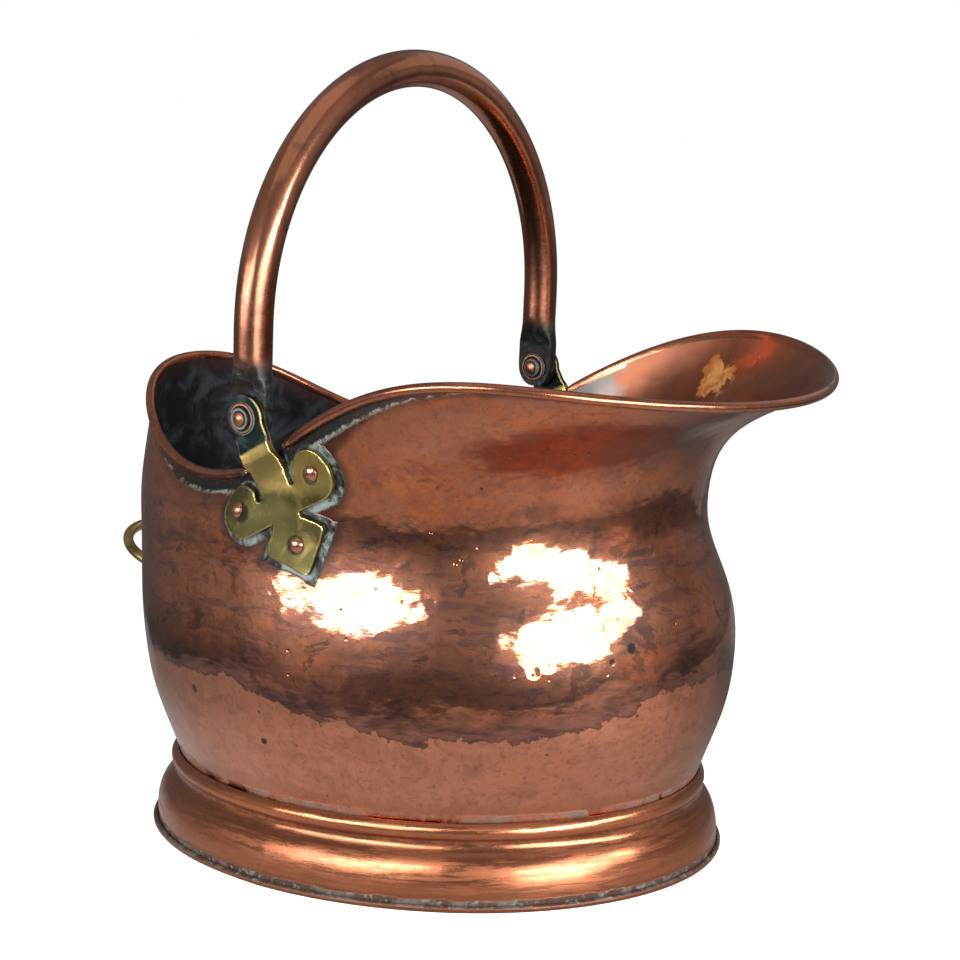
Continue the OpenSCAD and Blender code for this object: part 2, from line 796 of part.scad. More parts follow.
module grip_bar() {
    translate([GRIP_FOOT[0], 0, GRIP_FOOT[2]])
        rotate([0, grip_tilt, 0]) {
            for (s = [-1, 1]) {
                translate([8, s * grip_half_span, 0])
                    rotate([0, -90, 0])
                        cylinder(d = grip_d, h = grip_run + 8, $fn = FINE);
                translate([-grip_run, s * (grip_half_span - grip_bend), 0])
                    rotate([0, 0, s > 0 ? 90 : 180])
                        rotate_extrude(angle = 90, $fn = FINE)
                            translate([grip_bend, 0])
                                circle(d = grip_d, $fn = FINE);
            }
            translate([-grip_run - grip_bend, grip_half_span - grip_bend, 0])
                rotate([90, 0, 0])
                    cylinder(d = grip_d, h = 2 * (grip_half_span - grip_bend), $fn = FINE);
        }
}

module rear_grip() {
    seat = seat_gap + grip_disc_t;
    color(BRASS) {
        difference() {
            grip_bar();
            for (s = [-1, 1])
                mirror([0, s < 0 ? 1 : 0, 0])
                    aim(GRIP_FOOT, GRIP_FOOT_OUT)
                        translate([0, 0, seat - 30])
                            cylinder(d = 60, h = 30, $fn = FINE);
        }
        for (s = [-1, 1])
            mirror([0, s < 0 ? 1 : 0, 0])
                aim(GRIP_FOOT, GRIP_FOOT_OUT)
                    translate([0, 0, -sheet - 3.4])
                        cylinder(d = tenon_d, h = sheet + 3.4 + seat + 0.8, $fn = FINE);
    }
}

module grip_discs() {
    color(BRASS)
        for (s = [-1, 1])
            mirror([0, s < 0 ? 1 : 0, 0])
                aim(GRIP_FOOT, GRIP_FOOT_OUT)
                    translate([0, 0, seat_gap])
                        difference() {
                            cylinder(d = grip_disc_d, h = grip_disc_t, $fn = FINE);
                            translate([0, 0, -1])
                                cylinder(d = tenon_d + 0.1, h = grip_disc_t + 2, $fn = FINE);
                        }
}

module grip_roves() {
    color(BRASS)
        for (s = [-1, 1])
            mirror([0, s < 0 ? 1 : 0, 0])
                aim(GRIP_FOOT, GRIP_FOOT_OUT)
                    translate([0, 0, -sheet - 0.9 - 1.8])
                        difference() {
                            cylinder(d = 12, h = 1.8, $fn = FINE);
                            translate([0, 0, -1])
                                cylinder(d = tenon_d + 0.1, h = 4, $fn = FINE);
                        }
}

// Distance from the foot's centre to the middle of the whole length
middle = (
    spout_reach + roll_bore + sheet
    + GRIP_FOOT[0] - grip_projection * cos(grip_tilt) - grip_d / 2
) / 2;
module on_left() {
    translate([-middle, 0, 0])
        children();
}
module on_right() {
    on_left()
        mirror([0, 1, 0])
            children();
}
module in_place() {
    on_left()
        children();
}

in_place() body_sheet();
in_place() front_rim_wire();
in_place() rear_rim_wire();
in_place() bottom_plate();
in_place() foot_ring();
in_place() foot_wire();
on_right() lug();  // lug_right
on_left() lug();  // lug_left
on_right() lug_rivets();  // lug_rivets_right
on_left() lug_rivets();  // lug_rivets_left
on_right() pivot_rivet();  // pivot_rivet_right
on_left() pivot_rivet();  // pivot_rivet_left
on_right() pivot_washer(ear_out, washer_d, washer_t);  // outer_washer_right
on_left() pivot_washer(ear_out, washer_d, washer_t);  // outer_washer_left
on_right() pivot_washer(ear_out + washer_t, ring_d, ring_t);  // pivot_ring_right
on_left() pivot_washer(ear_out + washer_t, ring_d, ring_t);  // pivot_ring_left
on_right() pivot_washer(inner_face, washer_d, washer_t);  // inner_washer_right
on_left() pivot_washer(inner_face, washer_d, washer_t);  // inner_washer_left
in_place() bail_handle();
in_place() rear_grip();
in_place() grip_discs();
in_place() grip_roves();
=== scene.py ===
"""Looks of a hammered copper ash bucket in the helmet form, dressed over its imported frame.

Lengths are in metres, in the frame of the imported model: +X to the spout, +Z up, floor at zero.
"""

import json
import logging
import math
from contextlib import contextmanager
from dataclasses import dataclass, field
from enum import Enum
from typing import Callable, Iterator

import bmesh
import bpy
from mathutils import Matrix, Vector
from mathutils.bvhtree import BVHTree

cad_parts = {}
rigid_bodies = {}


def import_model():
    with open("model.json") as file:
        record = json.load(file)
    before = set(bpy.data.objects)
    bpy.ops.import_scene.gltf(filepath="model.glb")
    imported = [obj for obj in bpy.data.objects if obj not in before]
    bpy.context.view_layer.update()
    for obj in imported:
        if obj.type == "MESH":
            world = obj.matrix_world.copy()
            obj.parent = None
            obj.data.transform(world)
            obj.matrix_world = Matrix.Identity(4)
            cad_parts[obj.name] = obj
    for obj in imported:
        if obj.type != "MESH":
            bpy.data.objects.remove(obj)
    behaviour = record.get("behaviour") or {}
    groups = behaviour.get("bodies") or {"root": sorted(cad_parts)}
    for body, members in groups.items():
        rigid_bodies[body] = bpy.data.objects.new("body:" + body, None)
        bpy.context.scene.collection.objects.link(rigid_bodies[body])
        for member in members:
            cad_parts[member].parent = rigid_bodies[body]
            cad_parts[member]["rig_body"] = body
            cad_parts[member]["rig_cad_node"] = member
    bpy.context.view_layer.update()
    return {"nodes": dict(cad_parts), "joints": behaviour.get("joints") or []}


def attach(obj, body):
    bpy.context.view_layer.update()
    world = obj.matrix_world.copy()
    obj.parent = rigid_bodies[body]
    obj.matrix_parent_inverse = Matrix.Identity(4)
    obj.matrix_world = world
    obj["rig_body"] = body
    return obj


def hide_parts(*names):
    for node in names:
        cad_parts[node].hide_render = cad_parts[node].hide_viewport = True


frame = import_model()

log = logging.getLogger("bucket")

Colour = tuple[float, float, float]
Place = tuple[float, float, float]

BUCKET = "bucket"
HANDLE = "handle"
# The handle's pivots stand at this X and Z, and this far from the middle on both sides
PIVOT_X = -0.0231
PIVOT_Z = 0.264
HALF_SPAN = 0.137
# How much less the ends of the oval count than its sides in telling outside from inside
OVAL = 0.6
MERGE = 1e-5
SHORTEST = 1e-9
SPECULAR = 0.15
HAZE_ROUGHNESS = 0.34
FRONT_LIGHT = 14.0
FILL_LIGHT = 0.35


class Side(Enum):
    """The two sides of the bucket, with the sign that their places have along Y."""

    RIGHT = -1
    LEFT = 1

    @property
    def word(self) -> str:
        """The side's word as the names of the nodes end in it."""
        return self.name.lower()


def clamp(value: float) -> float:
    """The nearest number from 0 to 1."""
    return min(max(value, 0.0), 1.0)


def faces_inside(place: Vector, normal: Vector) -> bool:
    """Tells whether a surface at a place faces the bucket's inside."""
    return normal.dot(Vector((place.x * OVAL, place.y, 0.0))) < 0.0


def outward(azimuth: float, elevation: float) -> Vector:
    """The direction that leads from the bucket to a place round it.

    Args:
        azimuth: Angle round the bucket in radians, 0 at -Y and growing towards +X.
        elevation: Angle over the floor in radians.

    Returns:
        The direction, with length 1.
    """
    level = math.cos(elevation)
    return Vector((math.sin(azimuth) * level, -math.cos(azimuth) * level, math.sin(elevation)))


# Modelling


class Bench:
    """One mesh piece and the modelling steps that are done on it."""

    def __init__(self, piece: bpy.types.Object) -> None:
        """Keeps the piece that the steps work on."""
        self.piece = piece

    @staticmethod
    def clear() -> None:
        """Deselects everything, with no piece in edit mode."""
        for item in bpy.context.selected_objects:
            item.select_set(False)

    @classmethod
    def copy_of(cls, node: str, name: str) -> "Bench":
        """Copies a CAD node as a free piece and joins its loose triangles.

        Args:
            node: Name of the CAD node.
            name: Name that the new piece gets.

        Returns:
            The bench that holds the copy.
        """
        cls.clear()
        source = frame["nodes"][node]
        source.select_set(True)
        bpy.context.view_layer.objects.active = source
        bpy.ops.object.duplicate()
        piece = bpy.context.active_object
        bpy.ops.object.parent_clear(type="CLEAR_KEEP_TRANSFORM")
        del piece["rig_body"]
        del piece["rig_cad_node"]
        piece.name = name
        piece.data.name = name
        piece.data.materials.clear()
        bpy.ops.mesh.customdata_custom_splitnormals_clear()
        bench = cls(piece)
        with bench.edit():
            bpy.ops.mesh.select_all(action="SELECT")
            bpy.ops.mesh.remove_doubles(threshold=MERGE)
            bpy.ops.mesh.mark_sharp(clear=True)
        return bench

    @classmethod
    def adopt(cls, name: str) -> "Bench":
        """Takes the primitive that was just added and names it.

        Args:
            name: Name that the new piece gets.

        Returns:
            The bench that holds the primitive.
        """
        piece = bpy.context.active_object
        piece.name = name
        piece.data.name = name
        return cls(piece)

    def hold(self) -> None:
        """Makes this piece the only selected one."""
        self.clear()
        self.piece.select_set(True)
        bpy.context.view_layer.objects.active = self.piece

    @contextmanager
    def edit(self, mode: str = "VERT") -> Iterator[bmesh.types.BMesh]:
        """Opens the piece in edit mode for the time of a with block.

        Args:
            mode: What is selected: VERT, EDGE or FACE.

        Returns:
            The mesh in edit mode, used to find and select its elements.
        """
        self.hold()
        bpy.ops.object.mode_set(mode="EDIT")
        bpy.ops.mesh.select_mode(type=mode)
        try:
            yield bmesh.from_edit_mesh(self.piece.data)
        finally:
            bpy.ops.object.mode_set(mode="OBJECT")

    def pick_points(self, mesh: bmesh.types.BMesh, test: Callable[[Vector], bool]) -> None:
        """Selects the points whose place passes a test, and nothing else.

        Args:
            mesh: The mesh in edit mode.
            test: Tells from a point's place whether it is taken.
        """
        for point in mesh.verts:
            point.select = test(point.co)
        mesh.select_flush_mode()
        bmesh.update_edit_mesh(self.piece.data)

    def line(self, lining: "Finish", test: Callable[[bmesh.types.BMFace], bool]) -> None:
        """Gives the faces that pass a test a second finish.

        Args:
            lining: The second finish.
            test: Tells whether a face gets it.
        """
        self.piece.data.materials.append(lining.material())
        with self.edit("FACE") as mesh:
            for face in mesh.faces:
                face.select = test(face)
            bmesh.update_edit_mesh(self.piece.data)
            self.piece.active_material_index = 1
            bpy.ops.object.material_slot_assign()

    def modify(self, kind: str, **settings: object) -> None:
        """Adds a modifier with its settings and applies it.

        Args:
            kind: Blender's name of the modifier's type.
            settings: Values of the modifier's own settings.
        """
        self.hold()
        step = self.piece.modifiers.new(kind.lower(), kind)
        for key, value in settings.items():
            setattr(step, key, value)
        bpy.ops.object.modifier_apply(modifier=step.name)

    def smooth(self, degrees: float = 180.0) -> None:
        """Shades the piece smooth over edges that turn less than an angle.

        Args:
            degrees: The angle from which an edge stays sharp.
        """
        self.hold()
        if degrees >= 180.0:
            bpy.ops.object.shade_smooth()
        else:
            bpy.ops.object.shade_smooth_by_angle(angle=math.radians(degrees))

    def round_panels(self, levels: int) -> None:
        """Joins the triangles to panels and rounds these into one smooth surface.

        Args:
            levels: How often the panels are subdivided.
        """
        with self.edit("FACE"):
            bpy.ops.mesh.select_all(action="SELECT")
            bpy.ops.mesh.tris_convert_to_quads(
                face_threshold=math.radians(50), shape_threshold=math.radians(70)
            )
        self.modify("SUBSURF", levels=levels, render_levels=levels)
        self.smooth()

    def soften(self, width: float) -> None:
        """Joins the triangles of flat faces and rounds the corners between the faces.

        Args:
            width: Width of the rounding.
        """
        with self.edit("FACE"):
            bpy.ops.mesh.select_all(action="SELECT")
            bpy.ops.mesh.dissolve_limited(angle_limit=math.radians(1.0))
        turn = math.radians(40)
        self.modify("BEVEL", width=width, segments=3, limit_method="ANGLE", angle_limit=turn)

    def finish(self, body: str, slot: str, *nodes: str) -> None:
        """Lets the piece ride on its body and stand for its CAD nodes.

        Args:
            body: Name of the CAD body.
            slot: Name of the record's material slot; not used.
            nodes: CAD nodes that the piece replaces.
        """
        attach(self.piece, body)
        if nodes:
            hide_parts(*nodes)
        log.info("%s: %d faces", self.piece.name, len(self.piece.data.polygons))


# Shader maths


class Signal:
    """A value, colour or direction that runs between the nodes of one material."""

    def __init__(self, kit: "Kit", socket: bpy.types.NodeSocket) -> None:
        """Keeps the socket that the signal comes out of."""
        self.kit = kit
        self.socket = socket

    def _math(self, operation: str, *terms: object) -> "Signal":
        """One Math node over the given terms."""
        inputs = dict(enumerate(terms))
        return self.kit.signal("ShaderNodeMath", {"operation": operation}, inputs)

    def __add__(self, other: object) -> "Signal":
        """Sum."""
        return self._math("ADD", self, other)

    __radd__ = __add__

    def __sub__(self, other: object) -> "Signal":
        """Difference."""
        return self._math("SUBTRACT", self, other)

    def __rsub__(self, other: object) -> "Signal":
        """Difference from a number."""
        return self._math("SUBTRACT", other, self)

    def __mul__(self, other: object) -> "Signal":
        """Product."""
        return self._math("MULTIPLY", self, other)

    __rmul__ = __mul__

    def __truediv__(self, other: object) -> "Signal":
        """Quotient."""
        return self._math("DIVIDE", self, other)

    def __rtruediv__(self, other: object) -> "Signal":
        """Quotient of a number by the signal."""
        return self._math("DIVIDE", other, self)

    def __pow__(self, other: object) -> "Signal":
        """Power."""
        return self._math("POWER", self, other)

    def __abs__(self) -> "Signal":
        """Size without its sign."""
        return self._math("ABSOLUTE", self)

    def least(self, other: object) -> "Signal":
        """The smaller of two."""
        return self._math("MINIMUM", self, other)

    def most(self, other: object) -> "Signal":
        """The larger of two."""
        return self._math("MAXIMUM", self, other)

    def swing(self, size: float) -> "Signal":
        """How far the value is from one half, times a size."""
        return (self - 0.5) * size

    def step(self, start: float, end: float) -> "Signal":
        """Rises smoothly from 0 at start to 1 at end; start may be the larger number.

        Args:
            start: Where the result is 0.
            end: Where the result is 1.

        Returns:
            The smooth step.
        """
        settings = {"interpolation_type": "SMOOTHSTEP"}
        inputs = {"Value": self, "From Min": start, "From Max": end, "To Min": 0.0, "To Max": 1.0}
        return self.kit.signal("ShaderNodeMapRange", settings, inputs)


def span(first: Signal, second: Signal) -> Signal:
    """Length of the straight line over two lengths at right angles."""
    return (first**2.0 + second**2.0) ** 0.5


class Kit:
    """One material under construction: its nodes, and the patterns that finishes share."""

    def __init__(self, name: str) -> None:
        """Starts an empty node material.

        Args:
            name: Name of the material.
        """
        self.material = bpy.data.materials.new(name)
        self.material.use_nodes = True
        self.tree = self.material.node_tree
        self.tree.nodes.clear()
        self.place = self.signal("ShaderNodeTexCoord", {}, {}, "Object")
        apart = self.node("ShaderNodeSeparateXYZ", {}, {0: self.place})
        self.x = Signal(self, apart.outputs[0])
        self.y = Signal(self, apart.outputs[1])
        self.z = Signal(self, apart.outputs[2])

    def node(self, kind: str, settings: dict, inputs: dict) -> bpy.types.Node:
        """Adds one node, sets it up and connects it.

        Args:
            kind: Blender's name of the node's type.
            settings: The node's own settings, set before its sockets.
            inputs: Numbers, colours or signals for its sockets, by name or place.

        Returns:
            The new node.
        """
        made = self.tree.nodes.new(kind)
        for key, value in settings.items():
            setattr(made, key, value)
        for key, value in inputs.items():
            if isinstance(value, Signal):
                self.tree.links.new(value.socket, made.inputs[key])
            elif isinstance(value, tuple) and made.inputs[key].type == "RGBA":
                made.inputs[key].default_value = (*value[:3], 1.0)
            else:
                made.inputs[key].default_value = value
        return made

    def signal(self, kind: str, settings: dict, inputs: dict, output: object = 0) -> Signal:
        """Adds one node and takes one of its outputs.

        Args:
            kind: Blender's name of the node's type.
            settings: The node's own settings.
            inputs: Values or signals for its sockets.
            output: Name or place of the output socket.

        Returns:
            The output as a signal.
        """
        return Signal(self, self.node(kind, settings, inputs).outputs[output])

    def noise(
        self,
        scale: float,
        detail: float = 4.0,
        rough: float = 0.55,
        warp: float = 0.0,
        flat: float = 1.0,
    ) -> Signal:
        """Cloudy noise from 0 to 1.

        Args:
            scale: Clouds for each metre.
            detail: How many finer layers lie over the clouds.
            rough: Weight of the finer layers.
            warp: How much the clouds are twisted.
            flat: How many times lower the clouds are than wide.

        Returns:
            The noise value.
        """
        place = self.place
        if flat != 1.0:
            squeezed = {0: place, 1: (1.0, 1.0, flat)}
            place = self.signal("ShaderNodeVectorMath", {"operation": "MULTIPLY"}, squeezed)
        inputs = {"Vector": place, "Scale": scale, "Detail": detail}
        inputs |= {"Roughness": rough, "Distortion": warp}
        return self.signal("ShaderNodeTexNoise", {}, inputs)

    def cells(self, scale: float, soft: float = 0.0) -> Signal:
        """Distance to the nearest of many scattered points, in cells.

        Args:
            scale: Points for each metre.
            soft: How far neighbouring cells melt together.

        Returns:
            The distance value.
        """
        feature = "SMOOTH_F1" if soft > 0.0 else "F1"
        inputs = {"Vector": self.place, "Scale": scale}
        if soft > 0.0:
            inputs["Smoothness"] = soft
        return self.signal("ShaderNodeTexVoronoi", {"feature": feature}, inputs, "Distance")

    def near(self, place: Place, radius: float) -> Signal:
        """1 at a place, falling smoothly to 0 at a radius round it.

        Args:
            place: The place.
            radius: Where the value is 0.

        Returns:
            The value.
        """
        ends = {0: self.place, 1: place}
        distance = self.signal("ShaderNodeVectorMath", {"operation": "DISTANCE"}, ends, "Value")
        return distance.step(radius, 0.0)

    def own(self, name: str) -> Signal:
        """A value that the piece carries at each of its points."""
        return self.signal("ShaderNodeAttribute", {"attribute_name": name}, {}, "Fac")

    def blend(self, share: object, first: object, second: object) -> Signal:
        """Mixes two colours.

        Args:
            share: How much of the second colour shows, from 0 to 1.
            first: Colour or signal.
            second: Colour or signal.

        Returns:
            The mixed colour.
        """
        settings = {"data_type": "RGBA", "clamp_factor": True}
        return self.signal("ShaderNodeMix", settings, {0: share, 6: first, 7: second}, 2)

    def layers(self, colour: object, *coats: tuple[object, object]) -> Signal:
        """Lays colours over one another, each over those before it.

        Args:
            colour: The lowest colour.
            coats: How much of each further colour shows, and that colour.

        Returns:
            The mixed colour.
        """
        for share, coat in coats:
            colour = self.blend(share, colour, coat)
        return colour

    def surface(
        self,
        colour: object,
        rough: object,
        metal: object,
        height: Signal | None = None,
        haze: float = 0.0,
        **others: object,
    ) -> None:
        """Ends the material in one surface, with a bump and a hazy gloss where it has them.

        Args:
            colour: Base colour.
            rough: Roughness.
            metal: Share of bare metal.
            height: Height of the surface's relief in metres, or None where it has none.
            haze: Share of the wide, hazy gloss beside the sharp one.
            others: Other sockets of the shader, with underscores for spaces.
        """
        inputs = {"Base Color": colour, "Roughness": rough, "Metallic": metal}
        inputs["Specular IOR Level"] = SPECULAR
        if height is not None:
            relief = {"Strength": 1.0, "Distance": 1.0, "Height": height}
            inputs["Normal"] = self.signal("ShaderNodeBump", {}, relief, "Normal")
        inputs |= {key.replace("_", " "): value for key, value in others.items()}
        shader = self.node("ShaderNodeBsdfPrincipled", {}, inputs)
        if haze > 0.0:
            wide = self.node("ShaderNodeBsdfPrincipled", {}, inputs | {"Roughness": HAZE_ROUGHNESS})
            both = self.node("ShaderNodeMixShader", {}, {"Fac": haze})
            self.tree.links.new(shader.outputs[0], both.inputs[1])
            self.tree.links.new(wide.outputs[0], both.inputs[2])
            shader = both
        self.close(shader)

    def close(self, shader: bpy.types.Node) -> None:
        """Connects the last shader to the material's output."""
        output = self.node("ShaderNodeOutputMaterial", {}, {})
        self.tree.links.new(shader.outputs[0], output.inputs[0])


# Finishes

BRIGHT_COPPER: Colour = (0.56, 0.205, 0.105)
# Copper of the painted floor reflection
FLOOR_REFLECTION_COPPER: Colour = (0.60, 0.235, 0.145)
RED_COPPER: Colour = (0.47, 0.125, 0.052)
RUST_COPPER: Colour = (0.422, 0.1528, 0.0816)
BROWN_COPPER: Colour = (0.33, 0.118, 0.066)
PLUM_COPPER: Colour = (0.27, 0.105, 0.085)
AMBER_COPPER: Colour = (0.66, 0.19, 0.06)
DARK_STAIN: Colour = (0.09, 0.042, 0.03)
SOOT: Colour = (0.006, 0.0055, 0.005)
TEAL: Colour = (0.01, 0.017, 0.017)
VERDIGRIS: Colour = (0.075, 0.092, 0.084)
CHALK: Colour = (0.17, 0.21, 0.195)


@dataclass(frozen=True)
class LugShape:
    """The lug's outline in its own plane, for the crust that gathers round its edge."""

    tilt: float = math.radians(25.0)
    lobe_out: float = 0.0285
    lobe_down: float = 0.0444
    lobe: float = 0.0143
    low_rivet: float = 0.0736
    arm_down: float = 0.0468
    arm_half: float = 0.0117
    neck: float = 0.011
    neck_down: float = 0.033
    neck_half: float = 0.03
    waist: float = 0.0102
    waist_down: float = 0.0608
    point_down: float = 0.091
    slant: float = math.radians(43.0)
    close: float = 0.045
    far: float = 0.17

    def axes(self, kit: Kit) -> tuple[Signal, Signal]:
        """Distance from the lug's middle line, and distance down it from the pivot.

        Args:
            kit: The material that asks.

        Returns:
            Both distances in metres.
        """
        dx = kit.x - PIVOT_X
        dz = kit.z - PIVOT_Z
        across = dx * math.cos(self.tilt) + dz * math.sin(self.tilt)
        down = dx * math.sin(self.tilt) - dz * math.cos(self.tilt)
        return abs(across), down

    def from_lobe(self, out: Signal, down: Signal) -> Signal:
        """Distance from the middle of the nearer side lobe."""
        return span(out - self.lobe_out, down - self.lobe_down)

    def rivets(self, kit: Kit) -> Signal:
        """Distance from the middle of the nearest of the three rivets.

        Args:
            kit: The material that asks.

        Returns:
            The distance in metres.
        """
        out, down = self.axes(kit)
        return self.from_lobe(out, down).least(span(out, down - self.low_rivet))

    def gap(self, kit: Kit) -> Signal:
        """Distance from the lug's outline, negative under the lug.

        Args:
            kit: The material that asks.

        Returns:
            The distance in metres.
        """
        out, down = self.axes(kit)
        side = self.from_lobe(out, down) - self.lobe
        arms = (out - self.lobe_out).most(abs(down - self.arm_down) - self.arm_half)
        neck = (out - self.neck).most(abs(down - self.neck_down) - self.neck_half)
        wide = math.cos(self.slant)
        steep = math.sin(self.slant)
        under = out * steep + (down - self.point_down) * wide
        over = (out - self.waist) * wide - (down - self.waist_down) * steep
        return side.least(arms).least(neck).least(under.most(over))

    def nearness(self, kit: Kit) -> Signal:
        """1 beside the lug, 0 far from it along the rim."""
        return abs(kit.x - PIVOT_X).step(self.far, self.close)


@dataclass(frozen=True)
class Mark:
    """A dent or stain at one place of the body."""

    place: Place
    radius: float
    depth: float = 0.0
    dark: float = 0.0


MARKS = (
    Mark((0.164, -0.056, 0.142), 0.005, 0.00020, 0.9),
    Mark((0.159, -0.067, 0.136), 0.0035, 0.00012, 0.9),
    Mark((0.137, -0.094, 0.136), 0.005, 0.00016, 0.1),
    Mark((0.131, -0.099, 0.134), 0.0045, 0.00014),
    Mark((0.140, -0.091, 0.125), 0.005, 0.00018, 0.2),
    Mark((0.172, -0.040, 0.146), 0.032, 0.0006),
    Mark((0.146, -0.080, 0.172), 0.018, 0.0003),
    Mark((-0.077, -0.136, 0.106), 0.005, 0.00015, 0.8),
    Mark((-0.021, -0.141, 0.085), 0.004, 0.0001, 0.9),
    Mark((0.128, -0.106, 0.094), 0.005, 0.0001, 0.7),
    Mark((0.101, -0.125, 0.101), 0.008, 0.00015, 0.7),
    Mark((0.155, 0.062, 0.250), 0.006, 0.0002, 0.5),
)


class Finish:
    """A finish that builds its material once and hands it out."""

    name = "finish"

    def __init__(self) -> None:
        """Starts with no material."""
        self.made: bpy.types.Material | None = None

    def material(self) -> bpy.types.Material:
        """The finish's material, built at the first call."""
        if self.made is None:
            kit = Kit(self.name)
            self.paint(kit)
            self.made = kit.material
        return self.made

    def paint(self, kit: Kit) -> None:
        """Builds the nodes.

        Args:
            kit: The material under construction.
        """
        raise NotImplementedError

    def dress(self, piece: bpy.types.Object) -> None:
        """Gives the whole piece this finish."""
        piece.data.materials.clear()
        piece.data.materials.append(self.material())


class CopperSkin:
    """The patterns of the body's copper, and the zones that lie over one another on it."""

    tide_line = 0.095
    neck_low = 0.20
    neck_high = 0.222

    def __init__(self, kit: Kit) -> None:
        """Makes the patterns, from wide clouds to fine grain, and the zones by height.

        Args:
            kit: The material under construction.
        """
        self.clouds = kit.noise(7.0, 3.0)
        self.patches = kit.noise(22.0, 5.0, 0.62, 0.8)
        self.blotches = kit.noise(30.0, 7.0, 0.7, 1.2, 1.6)
        self.lines = kit.noise(34.0, 6.0, 0.7, 0.6, 4.0)
        self.mottle = kit.noise(90.0, 5.0, 0.68, 0.6)
        self.streaks = kit.noise(60.0, 5.0, 0.65, 0.7)
        self.grain = kit.noise(320.0, 4.0, 0.65)
        # The line of the painted floor reflection climbs towards the back, and at the spout towards
        # the far side
        behind = (((0.1 - kit.x).most(0.0) / 0.12) ** 2.0 * 0.019).least(0.022)
        before = (kit.y + 0.1).most(0.0).least(0.062) * kit.x.step(0.1, 0.14) * 0.33
        torn = self.patches.swing(0.025) + self.streaks.swing(0.02) + self.grain.swing(0.003)
        ragged = self.patches.swing(0.05) + self.streaks.swing(0.012)
        self.above = kit.z + torn - self.tide_line - behind - before
        # Below the line the pale floor's reflection is painted in: lighter, rosier and rougher copper
        self.low = self.above.step(0.0007, -0.0007)
        self.high = (kit.z + ragged).step(self.neck_low, self.neck_high)
        self.belt = (1.0 - self.low) * (1.0 - self.high)
        self.pits = kit.cells(90.0).step(0.11, 0.04) * self.patches.step(0.5, 0.6)


